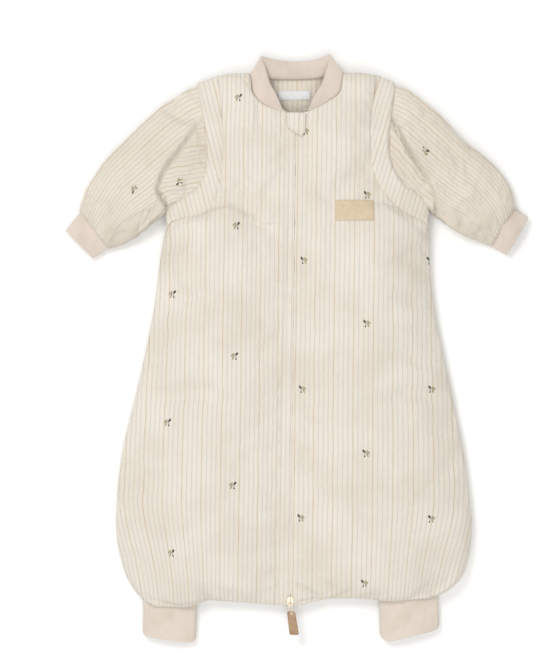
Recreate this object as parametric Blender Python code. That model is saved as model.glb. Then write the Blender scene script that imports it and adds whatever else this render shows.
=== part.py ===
"""Baby sleeping bag with sleeves, leg openings and a concealed centre zip.

The bag lies flat on its back on the XY plane: +X across the chest, +Y to the head, +Z up.
Every driving dimension is in millimetres; meshes are written in metres.
"""
import math

import bmesh
import bpy
from mathutils import Vector

MM = 0.001
GAP = 0.35              # clearance between neighbouring pieces
SKIN = 0.8              # thickness of one layer of fabric
EDGE_THICKNESS = 3.6    # padded panel where it is sewn flat
BACK_LOFT = 9.0         # padded back panel
FRONT_LOFT = 9.5        # padded front panel
ZIP_LOFT = 3.0          # front panel beside the zip
ZIP_FLAT = 12.5          # the front stays thin over this width of zip tape
ZIP_TAPER = 16.0         # and reaches its full loft over this width more
SIDE_ROUND_BACK = 35.0  # radius over which the back curls up to the side seam
SIDE_ROUND_FRONT = 60.0
HEM_ROUND = 30.0
SEAM_FRONT = 20.0       # height of the closed seams: front's upper face, back's lower face
SEAM_BACK = 12.0
PUFF = 9.0              # crown of the padding between the fold line and the side

# zip line, hem end and chin end, on the front's upper surface
ZIP_HEM = Vector((-8.2, -335.0, 25.0))
ZIP_CHIN = Vector((-0.5, 311.0, 36.0))
SLIT = 1.3              # half the slit between the two front halves
NOTCH = (8.0, 26.0)     # the slit widens by this much round the slider, over this length
LAPEL_START = -290.0
FOLD_RISE = 1.5         # the fold lines lie this much higher than the zip
FOLD_FOOT = 20.0        # distance of the fold line's lower end from the zip
FOLD_HEAD = {-1: (-61.0, 362.0), 1: (62.0, 362.0)}

# outline from the hem to the shoulder: x, y, height of the front's edge, height of the back's edge
LEFT_OUTLINE = [
    (-203, -333, 21, 8), (-218, -320, 20, 11), (-228, -301, 20, 12), (-238, -262, 20, 12), (-239.5, -225, 20, 12),
    (-236, -180, 20, 12), (-222, -100, 20, 12), (-206, -30, 20, 12), (-191, 40, 20, 12),
    (-182, 112, 20, 12), (-174, 157, 21, 11), (-166, 170, 23, 9), (-139, 177, 26, 6),
    (-113, 183, 30, 3), (-101, 222, 32, 3), (-97, 262, 32, 3), (-100, 315, 28, 5), (-105, 363, 22, 10)]
RIGHT_OUTLINE = [
    (192, -333, 21, 8), (211, -320, 20, 11), (222, -301, 20, 12), (231, -262, 20, 12), (233, -225, 20, 12),
    (227, -180, 20, 12), (212, -100, 20, 12), (198, -30, 20, 12), (184, 40, 20, 12),
    (176.5, 112, 20, 12), (177, 157, 21, 11), (171, 170, 23, 9), (147, 180, 26, 6),
    (122, 201, 30, 3), (106, 224, 32, 3), (100, 262, 32, 3), (99, 315, 28, 5), (110, 363, 22, 10)]
ARMHOLE = 11            # first outline station of the armhole
OUTLINE = {-1: LEFT_OUTLINE, 1: RIGHT_OUTLINE}
LEG_OPENING = {-1: (-205.0, -131.0), 1: (109.0, 189.0)}
BACK_NECK = (-28.0, 18.0, 358.0)    # flat part of the back neck seam: from x, to x, y
NECK_SEAM = {
    -1: [(-61, 362), (-57, 337), (-43, 322), (-13, 311.5), (-2.5, 310.5)],
    1: [(62, 362), (57, 339), (39, 325), (15, 314), (2.0, 310.5)]}

# outer edge of the armhole band, underarm to shoulder, one point for each armhole station
BAND_EDGE = {
    -1: [(-173, 183), (-146, 202), (-129, 214), (-120, 238), (-118, 262), (-124, 318), (-131, 353)],
    1: [(177, 191), (158, 206), (140, 219), (128, 238), (122, 269), (126, 312), (130, 354)]}
BAND_WALL = 7.0
# sleeve fold chord: underarm end, shoulder end
CHORD = {-1: ((-184, 168.5), (-140, 347)), 1: ((188, 172), (140, 348))}
SLEEVE_LOWER = {-1: [(-184, 168.5), (-201, 156), (-224, 143), (-251, 132)],
                1: [(188, 172), (207, 157), (236, 145), (260, 136)]}
SLEEVE_UPPER = {-1: [(-140, 347), (-198, 304), (-252, 250), (-289, 183)],
                1: [(140, 348), (197, 304), (255, 250), (290, 187)]}
SLEEVE_ROOT_HALF = 16.0  # half the sleeve's height where it leaves the armhole
SLEEVE_CUFF_HALF = 11.0
SLEEVE_WADDING = 4.0
CUFF_END = {-1: ((-271, 120), (-309.5, 157)), 1: ((281, 124), (309.5, 175))}
CUFF_WALL = 2.6
FLOOR = 0.5              # lowest point of the sleeves and cuffs
LEG_CUFF = {-1: ((-201, -132), (-204, -381), (-135, -391)), 1: ((110, 187), (113, -388), (189, -372))}
LEG_CUFF_TOP = -337.0

# collar strips: seam edge, free edge
COLLAR_FRONT = {
    -1: ([(-60, 363.5), (-55.5, 339), (-42, 324), (-26, 317), (-10, 312.5)],
         [(-38, 384), (-32.5, 366), (-24, 350), (-17, 336), (-8, 316.5)]),
    1: ([(61, 364), (55.5, 341), (38, 326.5), (26, 321), (12, 316)],
        [(43, 386), (34, 366), (25, 352), (18, 337), (8, 319)])}
COLLAR_BACK = ([(-60, 365), (-40, 363), (-9, 360.5), (18, 361), (40, 363.5), (61, 365.5)],
               [(-38.5, 386), (-25, 384), (-9, 382), (5, 381), (24, 384), (44, 391)])
COLLAR_THICKNESS = 4.5

TAPE = (1.2, 12.0, 0.5)   # inner edge, outer edge, thickness
COIL = (1.2, 3.0, 1.5)
ZIP_DEPTH = 3.4           # the tape's upper face lies this far below the zip line
COIL_START = -215.0
TAPE_END = 300.0
TAPE_FOOT = (-312.0, -292.0)  # the stretch of tape sewn to the fixed front below the lapel
SLIDER_LENGTH = 12.0
SLIDER_HALF = 4.8
SLIDER_Y = -334.0
PULL_SIZE = (12.0, 31.0, 2.2)
GARAGE = (-12.5, 12.5, 311.5, 291.0, 280.0)   # left, right, top, lower left, lower right
PATCH = (51.8, 101.5, 169.0, 196.0)
NECK_LABEL = (-24.0, 20.5, 329.0, 341.0)
SNAP = (-65.5, 354.0, 3.0)


def mix(a, b, t):
    return a + (b - a) * t


def mix_points(p, q, t):
    return tuple(mix(a, b, t) for a, b in zip(p, q))


def along(points, t):
    """Point at the fraction t of a list of evenly weighted points."""
    place = min(max(t, 0.0), 1.0) * (len(points) - 1)
    index = min(int(place), len(points) - 2)
    return mix_points(points[index], points[index + 1], place - index)


def round_over(distance, radius):
    """Quarter-circle profile: 0 on the seam, 1 from the given radius inwards."""
    reach = min(max(distance / radius, 0.0), 1.0)
    return math.sqrt(1.0 - (1.0 - reach) ** 2)


def bump(x, low, high, ramp):
    """1 between low and high, falling to 0 over the ramp on both sides."""
    inside = min(x - low, high - x)
    return min(max(inside / ramp + 1.0, 0.0), 1.0)


def zip_point(y):
    """Point of the zip line at the given y."""
    return ZIP_HEM.lerp(ZIP_CHIN, (y - ZIP_HEM.y) / (ZIP_CHIN.y - ZIP_HEM.y))


def fold_point(side, t):
    """Point of the lapel's fold line, on the front's upper surface, from its foot to the neck."""
    foot = zip_point(LAPEL_START)
    x = mix(foot.x + side * FOLD_FOOT, FOLD_HEAD[side][0], t)
    y = mix(LAPEL_START, FOLD_HEAD[side][1], t)
    z = mix(foot.z, zip_point(FOLD_HEAD[side][1]).z, t) + FOLD_RISE
    return Vector((x, y, z))


def fold_fraction(y):
    return (y - LAPEL_START) / (FOLD_HEAD[1][1] - LAPEL_START)


# ---------------------------------------------------------------- scene and meshes

def clear_scene():
    for item in list(bpy.data.objects):
        bpy.data.objects.remove(item, do_unlink=True)


def make_material(name, colour, roughness, metallic=0.0):
    material = bpy.data.materials.new(name)
    material.use_nodes = True
    shader = material.node_tree.nodes["Principled BSDF"]
    shader.inputs["Base Color"].default_value = (*colour, 1.0)
    shader.inputs["Roughness"].default_value = roughness
    shader.inputs["Metallic"].default_value = metallic
    return material


def add_object(name, verts, faces, look, pivot=(0, 0, 0)):
    """Closed mesh from millimetre vertices, with its origin at the pivot."""
    colour, roughness, metallic = look
    origin = Vector(pivot)
    mesh = bpy.data.meshes.new(name)
    mesh.from_pydata([(Vector(v) - origin) * MM for v in verts], [], faces)
    work = bmesh.new()
    work.from_mesh(mesh)
    bmesh.ops.recalc_face_normals(work, faces=work.faces)
    work.to_mesh(mesh)
    work.free()
    mesh.materials.append(make_material(name, colour, roughness, metallic))
    item = bpy.data.objects.new(name, mesh)
    item.location = origin * MM
    bpy.context.scene.collection.objects.link(item)
    return item


def grid_solid(name, upper, lower, look, pivot=(0, 0, 0)):
    """Slab between two grids of points that share their triangulation."""
    rows = len(upper)
    columns = len(upper[0])
    count = rows * columns
    verts = [point for row in upper for point in row] + [point for row in lower for point in row]
    faces = []
    for i in range(rows - 1):
        for j in range(columns - 1):
            a, b = i * columns + j, i * columns + j + 1
            c, d = b + columns, a + columns
            faces += [(a, b, c), (a, c, d)]
            faces += [(a + count, c + count, b + count), (a + count, d + count, c + count)]
    rim = [j for j in range(columns)]
    rim += [i * columns + columns - 1 for i in range(1, rows)]
    rim += [(rows - 1) * columns + j for j in range(columns - 2, -1, -1)]
    rim += [i * columns for i in range(rows - 2, 0, -1)]
    for a, b in zip(rim, rim[1:] + rim[:1]):
        faces += [(a, a + count, b + count), (a, b + count, b)]
    return add_object(name, verts, faces, look, pivot)


def tube_solid(name, outer, inner, look, pivot=(0, 0, 0)):
    """Open-ended tube between matching lists of outer and inner rings."""
    rings = len(outer)
    size = len(outer[0])
    count = rings * size
    verts = [point for ring in outer for point in ring] + [point for ring in inner for point in ring]
    faces = []
    for i in range(rings - 1):
        for k in range(size):
            a, b = i * size + k, i * size + (k + 1) % size
            c, d = b + size, a + size
            faces += [(a, b, c), (a, c, d)]
            faces += [(a + count, c + count, b + count), (a + count, d + count, c + count)]
    for ring in (0, (rings - 1) * size):
        for k in range(size):
            a, b = ring + k, ring + (k + 1) % size
            faces += [(a, a + count, b + count), (a, b + count, b)]
    return add_object(name, verts, faces, look, pivot)


def prism(name, profile, place, length, look, pivot=(0, 0, 0)):
    """Profile extruded over a length; place(a, b, c) turns its coordinates into a point."""
    size = len(profile)
    verts = [place(a, b, 0.0) for a, b in profile] + [place(a, b, length) for a, b in profile]
    faces = [tuple(range(size)), tuple(range(2 * size - 1, size - 1, -1))]
    faces += [(k, (k + 1) % size, size + (k + 1) % size, size + k) for k in range(size)]
    return add_object(name, verts, faces, look, pivot)


# ---------------------------------------------------------------- looks: colour, roughness, metallic

STRIPE = ((0.82, 0.78, 0.70), 0.9, 0.0)
LINING = ((0.80, 0.76, 0.69), 0.9, 0.0)
WADDING = ((0.90, 0.90, 0.88), 1.0, 0.0)
RIB = ((0.76, 0.68, 0.58), 0.92, 0.0)
TAN = ((0.69, 0.57, 0.40), 0.7, 0.0)
LABEL = ((0.80, 0.80, 0.79), 0.6, 0.0)
ZIP_CLOTH = ((0.84, 0.79, 0.70), 0.8, 0.0)
ZIP_PLASTIC = ((0.88, 0.82, 0.70), 0.4, 0.0)
ENAMEL = ((0.85, 0.80, 0.68), 0.3, 0.4)
LEATHER = ((0.46, 0.32, 0.20), 0.55, 0.0)
STUD = ((0.72, 0.66, 0.55), 0.35, 0.2)


# ---------------------------------------------------------------- body surfaces

def hem_fullness(y):
    return round_over(y - LEFT_OUTLINE[0][1] + 2.0, HEM_ROUND)


def leg_window(x):
    return max(bump(x, *LEG_OPENING[side], 14.0) for side in (-1, 1))


def hem_y(x):
    """The hem bulges a little over each leg opening."""
    return LEFT_OUTLINE[0][1] - 2.0 - 3.0 * leg_window(x)


def front_top(x, y, station, side_distance, puff):
    """Height of the front's upper face; station holds the heights of the side's edge."""
    crest = zip_point(y).z + FOLD_RISE + PUFF * puff
    top = mix(station[2], crest, round_over(side_distance, SIDE_ROUND_FRONT))
    hem_edge = mix(SEAM_FRONT + 2.0, 23.0, leg_window(x))
    return mix(min(hem_edge, top), top, hem_fullness(y))


def front_loft(side_distance, zip_distance):
    side = mix(EDGE_THICKNESS, FRONT_LOFT, round_over(side_distance, SIDE_ROUND_FRONT / 2))
    centre = mix(ZIP_LOFT, FRONT_LOFT, min(max(zip_distance - SLIT - ZIP_FLAT, 0.0) / ZIP_TAPER, 1.0))
    return min(side, centre)


def add_layers(prefix, cells, outer_up, looks, pivot=(0, 0, 0)):
    """Outer fabric, wadding and lining from a grid of (x, y, top, loft)."""
    for layer, look in zip(("outer", "wadding", "lining"), looks):
        upper, lower = [], []
        for row in cells:
            upper_row, lower_row = [], []
            for x, y, top, loft in row:
                high, low = layer_heights(layer, top, loft, outer_up)
                upper_row.append((x, y, high))
                lower_row.append((x, y, low))
            upper.append(upper_row)
            lower.append(lower_row)
        grid_solid(f"{prefix}_{layer}", upper, lower, look, pivot)


def layer_heights(layer, top, loft, outer_up):
    bottom = top - loft
    if layer == "wadding":
        return top - SKIN - GAP, bottom + SKIN + GAP
    if (layer == "outer") == outer_up:
        return top, top - SKIN
    return bottom + SKIN, bottom


def add_back():
    columns = [0.0, 0.035, 0.12, 0.3, 0.5, 0.7, 0.88, 0.965, 1.0]
    cells = []
    last = len(LEFT_OUTLINE) - 1
    for index, (left, right) in enumerate(zip(LEFT_OUTLINE, RIGHT_OUTLINE)):
        row = []
        for u in columns:
            x, y, _, edge = mix_points(left, right, u)
            distance = min(u, 1.0 - u) * (right[0] - left[0])
            if index == 0:
                y = hem_y(x)
                edge = mix(SEAM_BACK, 3.0, leg_window(x))
            if index == last:
                y = mix(y, BACK_NECK[2], bump(x, BACK_NECK[0], BACK_NECK[1], 40.0))
            full = round_over(distance, SIDE_ROUND_BACK)
            if index == 0:
                full = min(full, 0.0)
            low = edge * (1.0 - full)
            loft = mix(EDGE_THICKNESS, BACK_LOFT, full)
            row.append((x, y, low + loft, loft))
        cells.append(row)
    add_layers("back", cells, False, (STRIPE, WADDING, LINING))


def add_front_panel(side, word):
    """Front between the fold line and the side seam; below the lapel it runs in to the zip."""
    columns = [0.0, 0.22, 0.5, 0.8, 0.93, 1.0]
    cells = []
    stations = list(OUTLINE[side])
    for index, station in enumerate(stations):
        y = station[1]
        zip_x = zip_point(y).x
        if y < LAPEL_START:
            notch = SLIT + NOTCH[0] * max(0.0, 1.0 - (y - ZIP_HEM.y) / NOTCH[1])
            inner = zip_x + side * notch
        else:
            inner = fold_point(side, fold_fraction(y)).x + side * GAP / 2
        cells.append(front_row(side, station, inner, columns, index == 0))
        if y < LAPEL_START < stations[index + 1][1]:
            cells += split_rows(side, station, stations[index + 1], columns)
    add_layers(f"front_{word}", cells, True, (STRIPE, WADDING, LINING))


def split_rows(side, below, above, columns):
    """Two rows close together where the lapel's lower edge begins."""
    rows = []
    for y, inward in ((LAPEL_START - 1.0, True), (LAPEL_START, False)):
        station = mix_points(below, above, (y - below[1]) / (above[1] - below[1]))
        if inward:
            inner = zip_point(y).x + side * SLIT
        else:
            inner = fold_point(side, 0.0).x + side * GAP / 2
        rows.append(front_row(side, station, inner, columns, False))
    return rows


def puff_at(side, x, y, side_x):
    """Crown of the padding between the fold line, or its extension, and the side."""
    fold_x = fold_point(side, max(fold_fraction(y), 0.0)).x
    width = abs(side_x - fold_x)
    across = max(0.0, side * (x - fold_x)) / width
    room = min(max((width - 40.0) / 90.0, 0.0), 1.0)
    return room * math.sin(math.pi * min(across * 1.1, 1.0))


def front_row(side, station, inner, columns, at_hem):
    row = []
    width = abs(station[0] - inner)
    below_lapel = station[1] < LAPEL_START and abs(inner - zip_point(station[1]).x) < FOLD_FOOT
    for s in columns:
        if below_lapel and s == columns[1]:
            s = (ZIP_FLAT + SLIT) / width
        x = mix(inner, station[0], s)
        y = hem_y(x) if at_hem else station[1]
        distance = (1.0 - s) * width
        zip_distance = abs(x - zip_point(y).x)
        top = front_top(x, y, station, distance, puff_at(side, x, y, station[0]))
        if below_lapel:
            top = min(top, zip_point(y).z + FOLD_RISE * zip_distance / FOLD_FOOT)
        loft = front_loft(distance, zip_distance)
        loft = mix(min(loft, EDGE_THICKNESS), loft, hem_fullness(y))
        row.append((x, y, top, loft))
    return row


def lapel_grid(side):
    """Grid of (x, y, top, loft) from the fold line to the zip edge, hem end to neck."""
    seam = NECK_SEAM[side]
    cells = []
    for t in (0.0, 0.25, 0.5, 0.75, 0.93, 1.0):
        fold = fold_point(side, t)
        zip_y = mix(LAPEL_START, seam[-1][1], t)
        edge = zip_point(zip_y)
        flat = max(0.5, 1.0 - ZIP_FLAT / abs(fold.x - edge.x))
        row = []
        for column, s in enumerate((0.0, flat / 3, flat * 2 / 3, flat, 1.0)):
            x = mix(fold.x - side * GAP / 2, edge.x + side * SLIT, s)
            y = mix(fold.y, edge.y, s)
            if t == 1.0 and 0.0 < s < 1.0:
                x, y = seam[column]
            top = mix(fold.z, edge.z, s)
            zip_distance = abs(x - zip_point(y).x)
            row.append((x, y, top, front_loft(SIDE_ROUND_FRONT, zip_distance)))
        cells.append(row)
    return cells


def add_lapel(side, word):
    pivot = fold_point(side, 0.0)
    add_layers(f"lapel_{word}", lapel_grid(side), True, (STRIPE, WADDING, LINING), pivot)


# ---------------------------------------------------------------- sleeves, bands and cuffs

def oval_ring(low_point, high_point, centre_z, half, inset, curve=None):
    """Oval section between two points, or over a curve, with its wall moved in by the inset."""
    size = 20
    width = math.dist(low_point, high_point)
    ring = []
    for k in range(size):
        angle = math.tau * (k + 0.5) / size
        v = 0.5 + 0.5 * math.cos(angle) * (1.0 - 2.0 * inset / width)
        if curve:
            x, y = along(curve, v)
        else:
            x, y = mix_points(low_point, high_point, v)
        ring.append((x, y, centre_z + (half - inset) * math.sin(angle)))
    return ring


def wall(name, sections, outer_inset, thickness, look, pivot=(0, 0, 0)):
    """Tube whose sections are (low point, high point, half height, curve)."""
    rings = []
    for inset in (outer_inset, outer_inset + thickness):
        rings.append([oval_ring(low, high, FLOOR + half, half, inset, curve)
                      for low, high, half, curve in sections])
    return tube_solid(name, rings[0], rings[1], look, pivot)


def shifted(points, dx, dy):
    return [(x + dx, y + dy) for x, y in points]


def add_armhole_band(side, word):
    inner = shifted([p[:2] for p in OUTLINE[side][ARMHOLE:]], side * 0.7, 0.7)
    outer = BAND_EDGE[side]
    middle = [mix_points(a, b, 0.5) for a, b in zip(inner, outer)]
    half = SLEEVE_ROOT_HALF + 1.0
    sections = [(c[0], c[-1], half, c) for c in (inner, middle, outer)]
    wall(f"armhole_band_{word}", sections, 0.0, BAND_WALL, STRIPE)


def add_sleeve_head(side, word):
    """The part of the sleeve between the armhole and its fold chord."""
    root = shifted(BAND_EDGE[side], side * 2 * GAP, -side * GAP)
    low, high = CHORD[side]
    chord = [mix_points(low, high, k / 6) for k in range(7)]
    chord = shifted(chord, -side * GAP, 0.0)
    middle = [mix_points(a, b, 0.5) for a, b in zip(root, chord)]
    sections = [(c[0], c[-1], SLEEVE_ROOT_HALF, c) for c in (root, middle, chord)]
    wall(f"sleeve_head_{word}", sections, 0.0, 2 * SKIN + SLEEVE_WADDING + 2 * GAP, STRIPE)


def add_sleeve(side, word):
    low, high = CHORD[side]
    pivot = (*low, FLOOR + 2 * SLEEVE_ROOT_HALF)
    sections = []
    for t in (0.0, 1 / 3, 2 / 3, 1.0):
        half = mix(SLEEVE_ROOT_HALF, SLEEVE_CUFF_HALF, t)
        sections.append((along(SLEEVE_LOWER[side], t), along(SLEEVE_UPPER[side], t), half, None))
    inset = 0.0
    for layer, thickness, look in (("outer", SKIN, STRIPE), ("wadding", SLEEVE_WADDING, WADDING),
                                   ("lining", SKIN, LINING)):
        wall(f"sleeve_{word}_{layer}", sections, inset, thickness, look, pivot)
        inset += thickness + GAP + 0.1
    gap = side * 0.5
    near = [(x + gap, y - 0.3) for x, y in (SLEEVE_LOWER[side][-1], SLEEVE_UPPER[side][-1])]
    far = CUFF_END[side]
    cuff = [(near[0], near[1], SLEEVE_CUFF_HALF - 1.0, None), (*far, SLEEVE_CUFF_HALF - 2.0, None)]
    wall(f"sleeve_cuff_{word}", cuff, 0.0, CUFF_WALL, RIB, pivot)


def add_leg_cuff(side, word):
    (left, right), low_left, low_right = LEG_CUFF[side]
    top = LEG_CUFF_TOP - 1.5
    sections = [((left, top), (right, top), 10.5, None)]
    for t in (0.5, 1.0):
        sections.append((mix_points((left, top), low_left, t), mix_points((right, top), low_right, t),
                         mix(10.5, 8.5, t), None))
    wall(f"leg_cuff_{word}", sections, 0.0, CUFF_WALL, RIB)


# ---------------------------------------------------------------- collar, labels and stud

def strip(name, seam, free, low, look, thickness, samples, pivot=(0, 0, 0)):
    """Flat strip between two edges; low(t, s) gives the height of its lower face."""
    upper, lower = [], []
    for i in range(samples + 1):
        t = i / samples
        upper_row, lower_row = [], []
        for s in (0.0, 0.5, 1.0):
            x, y = mix_points(along(seam, t), along(free, t), s)
            z = low(t, s)
            lower_row.append((x, y, z))
            upper_row.append((x, y, z + thickness + 0.6 * (s == 0.5)))
        upper.append(upper_row)
        lower.append(lower_row)
    return grid_solid(name, upper, lower, look, pivot)


def add_collar_front(side, word):
    seam, free = COLLAR_FRONT[side]
    shoulder_z = fold_point(side, 1.0).z - COLLAR_THICKNESS - 2.5
    chin_z = zip_point(312.0).z - COLLAR_THICKNESS

    def low(t, s):
        return mix(shoulder_z, chin_z, t) - 2.0 * s * (1.0 - t)

    strip(f"collar_{word}", seam, free, low, RIB, COLLAR_THICKNESS, 6, fold_point(side, 0.0))


def add_collar_back():
    seam, free = COLLAR_BACK

    def low(t, s):
        ends = (2.0 * t - 1.0) ** 4
        return mix(4.0 + 3.0 * s, 24.0, ends)

    strip("collar_back", seam, free, low, RIB, COLLAR_THICKNESS, 10)


def flat_patch(name, corners, height, thickness, look, pivot=(0, 0, 0)):
    """Rectangle of cloth whose corners follow height(x, y)."""
    left, right, bottom, top = corners
    upper, lower = [], []
    for i in range(3):
        y = mix(bottom, top, i / 2)
        row = [(mix(left, right, j / 4), y) for j in range(5)]
        lower.append([(x, y, height(x, y)) for x, y in row])
        upper.append([(x, y, height(x, y) + thickness) for x, y in row])
    return grid_solid(name, upper, lower, look, pivot)


def add_chest_patch():
    def height(x, y):
        stations = RIGHT_OUTLINE
        index = max(i for i, station in enumerate(stations) if station[1] <= y)
        below, above = stations[index], stations[index + 1]
        station = mix_points(below, above, (y - below[1]) / (above[1] - below[1]))
        distance = station[0] - x
        return front_top(x, y, station, distance, puff_at(1, x, y, station[0])) + 2 * GAP

    flat_patch("chest_patch", PATCH, height, 0.8, TAN)


def add_neck_label():
    flat_patch("neck_label", NECK_LABEL, lambda x, y: BACK_LOFT + GAP, 0.7, LABEL)


def add_snap():
    x, y, radius = SNAP
    z = fold_point(-1, 1.0).z + GAP
    profile = [(x + radius * math.cos(math.tau * k / 12), y + radius * math.sin(math.tau * k / 12))
               for k in range(12)]
    prism("shoulder_stud", profile, lambda a, b, c: (a, b, z + c), 1.8, STUD)


# ---------------------------------------------------------------- zip

def zip_bar(name, side, inner, outer, depth, thickness, start, end, look, pivot=(0, 0, 0)):
    """Straight bar that runs beside the zip line, below the front's edge."""
    first, last = zip_point(start), zip_point(end)
    profile = [(inner, -depth), (outer, -depth), (outer, -depth - thickness), (inner, -depth - thickness)]

    def place(a, b, c):
        base = first if c == 0.0 else last
        return (base.x + side * a, base.y, base.z + b)

    return prism(name, profile, place, 1.0, look, pivot)


def add_zip(side, word):
    pivot = fold_point(side, 0.0)
    inner, outer, thickness = TAPE
    zip_bar(f"zip_tape_{word}", side, inner, outer, ZIP_DEPTH, thickness, COIL_START, TAPE_END,
            ZIP_CLOTH, pivot)
    zip_bar(f"zip_tape_end_{word}", side, inner, outer - 2.0, ZIP_DEPTH, thickness,
            *TAPE_FOOT, ZIP_CLOTH)
    inner, outer, height = COIL
    zip_bar(f"zip_coil_{word}", side, inner, outer, ZIP_DEPTH + thickness + GAP, height,
            COIL_START, 290.0, ZIP_PLASTIC, pivot)


def add_retainer():
    """Box on the right tape and pin on the left tape, where the closing of the zip starts."""
    depth = ZIP_DEPTH + TAPE[2] + GAP
    zip_bar("zip_retainer_box", 1, 1.2, 5.0, depth, 2.2, 291.0, 300.0, ZIP_PLASTIC, fold_point(1, 0.0))
    zip_bar("zip_retainer_pin", -1, 1.2, 3.4, depth, 2.0, 291.0, 300.0, ZIP_PLASTIC, fold_point(-1, 0.0))


def zip_direction():
    return (ZIP_CHIN - ZIP_HEM).normalized()


def slider_frame():
    """Origin of the slider on the zip line; its pieces are parallel to the zip."""
    return zip_point(SLIDER_Y)


def slider_place(a, b, c):
    base = slider_frame()
    step = zip_direction() * c
    return (base.x + a + step.x, base.y + step.y, base.z + b + step.z)


def add_slider():
    """Channel under the tapes, a neck through the slit and a crown above the cloth."""
    half = SLIDER_HALF
    profile = [(-half, -8.6), (half, -8.6), (half, -4.4), (half - 1.2, -4.4), (half - 1.2, -7.2),
               (0.75, -7.2), (0.75, 0.5), (2.0, 0.5), (2.0, 1.8), (-2.0, 1.8), (-2.0, 0.5),
               (-0.75, 0.5), (-0.75, -7.2), (-half + 1.2, -7.2), (-half + 1.2, -4.4), (-half, -4.4)]
    prism("zip_slider", profile, lambda a, b, c: slider_place(a, b, c - SLIDER_LENGTH / 2),
          SLIDER_LENGTH, ENAMEL, slider_frame())
    arch = [(-4.5, 2.1), (4.5, 2.1), (4.5, 4.3), (3.2, 5.9), (-3.2, 5.9), (-4.5, 4.3), (-4.5, 2.95),
            (-3.3, 2.95), (-3.3, 3.9), (-2.6, 4.8), (2.6, 4.8), (3.3, 3.9), (3.3, 2.7), (-4.5, 2.7)]
    prism("slider_bail", arch, lambda a, b, c: slider_place(c - 0.8, b, a), 1.6, ENAMEL, slider_frame())


def pull_pivot():
    return Vector(slider_place(0.0, 3.75, -2.2))


def add_pull():
    """Flat loop through the bail, and the leather-like tab that hangs on it."""
    pivot = pull_pivot()
    direction = zip_direction()

    def frame_ring(half_width, start, end, z):
        return [(pivot.x + x, pivot.y + y, pivot.z + direction.z * y + z)
                for x, y in ((-half_width, start), (half_width, start), (half_width, end), (-half_width, end))]

    outer = [frame_ring(3.2, 0.5, -11.0, z) for z in (-0.5, 0.5)]
    inner = [frame_ring(2.1, -0.5, -9.6, z) for z in (-0.5, 0.5)]
    tube_solid("pull_loop", outer, inner, ZIP_CLOTH, pivot)
    width, length, thickness = PULL_SIZE
    start = -11.5
    rows = []
    for y, half_width in ((start, width / 2 - 1.5), (start - 2.0, width / 2),
                          (start - length + 2.0, width / 2), (start - length, width / 2 - 1.5)):
        rows.append([(pivot.x + x + 0.14 * (y - start) * -1.0, pivot.y + y, pivot.z + direction.z * y)
                     for x in (-half_width, half_width)])
    upper = [[(x, y, z + thickness / 2) for x, y, z in row] for row in rows]
    lower = [[(x, y, z - thickness / 2) for x, y, z in row] for row in rows]
    grid_solid("leather_pull", upper, lower, LEATHER, pivot)


def add_garage():
    left, right, top, low_left, low_right = GARAGE
    base = zip_point(300.0).z + 1.2
    upper, lower = [], []
    for s in (0.0, 1.0):
        row = [(left, mix(top, low_left, s), base), (right, mix(top, low_right, s), base)]
        middle = mix_points(row[0], row[1], 0.5)
        row = [row[0], middle, row[1]]
        lower.append(row)
        upper.append([(x, y, z + 2.2) for x, y, z in row])
    grid_solid("zip_garage", upper, lower, STRIPE, (left, top, base + 2.2))


def build():
    clear_scene()
    add_back()
    for side, word in ((-1, "left"), (1, "right")):
        add_front_panel(side, word)
        add_lapel(side, word)
        add_armhole_band(side, word)
        add_sleeve_head(side, word)
        add_sleeve(side, word)
        add_leg_cuff(side, word)
        add_collar_front(side, word)
        add_zip(side, word)
    add_collar_back()
    add_neck_label()
    add_chest_patch()
    add_snap()
    add_retainer()
    add_slider()
    add_pull()
    add_garage()


build()
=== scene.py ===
"""Looks of the baby sleeping bag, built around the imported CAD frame.

The bag lies flat on its back: +X across the chest, +Y to the head, +Z up.
Shapes are worked out in millimetres and written to the meshes in metres.
"""

import math

import bpy
import numpy as np
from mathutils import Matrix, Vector, noise
from mathutils.bvhtree import BVHTree


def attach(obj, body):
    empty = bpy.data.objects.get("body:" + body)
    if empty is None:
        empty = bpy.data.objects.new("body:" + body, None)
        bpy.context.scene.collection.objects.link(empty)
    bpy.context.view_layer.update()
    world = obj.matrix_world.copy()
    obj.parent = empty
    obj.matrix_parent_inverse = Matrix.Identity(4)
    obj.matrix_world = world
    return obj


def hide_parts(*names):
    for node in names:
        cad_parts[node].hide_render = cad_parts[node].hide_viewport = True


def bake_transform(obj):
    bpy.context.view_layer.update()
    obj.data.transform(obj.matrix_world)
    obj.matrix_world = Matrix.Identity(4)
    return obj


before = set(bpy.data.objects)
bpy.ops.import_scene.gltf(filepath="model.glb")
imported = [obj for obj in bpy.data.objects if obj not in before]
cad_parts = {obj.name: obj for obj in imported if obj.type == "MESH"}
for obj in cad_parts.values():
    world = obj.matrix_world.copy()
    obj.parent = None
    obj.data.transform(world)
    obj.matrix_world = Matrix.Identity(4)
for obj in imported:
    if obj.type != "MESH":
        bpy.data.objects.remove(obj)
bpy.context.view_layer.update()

MM = 0.001
LINING_SHIFT = 3.0         # the lining's stripes start this far from those outside
SIDES = ((-1, "left"), (1, "right"))

# ---------------------------------------------------------------- sizes, in millimetres

ZIP_HEM = np.array((-8.2, -335.0, 25.0))
ZIP_CHIN = np.array((-0.5, 311.0, 36.0))
LIP = -0.15              # half the slit between the two front halves: below zero, their lips press together
FOLD_FOOT = {-1: (-27.66, -290.0), 1: (12.34, -290.0)}
FOLD_HEAD = {-1: (-61.0, 362.0), 1: (62.0, 362.0)}
FRONT_LOFT = 9.0
ZIP_LOFT = 3.0
BACK_LOFT = 8.6
SEAM_LOFT = 3.6            # thickness left where layers are sewn together
PUFF = 9.0

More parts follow.
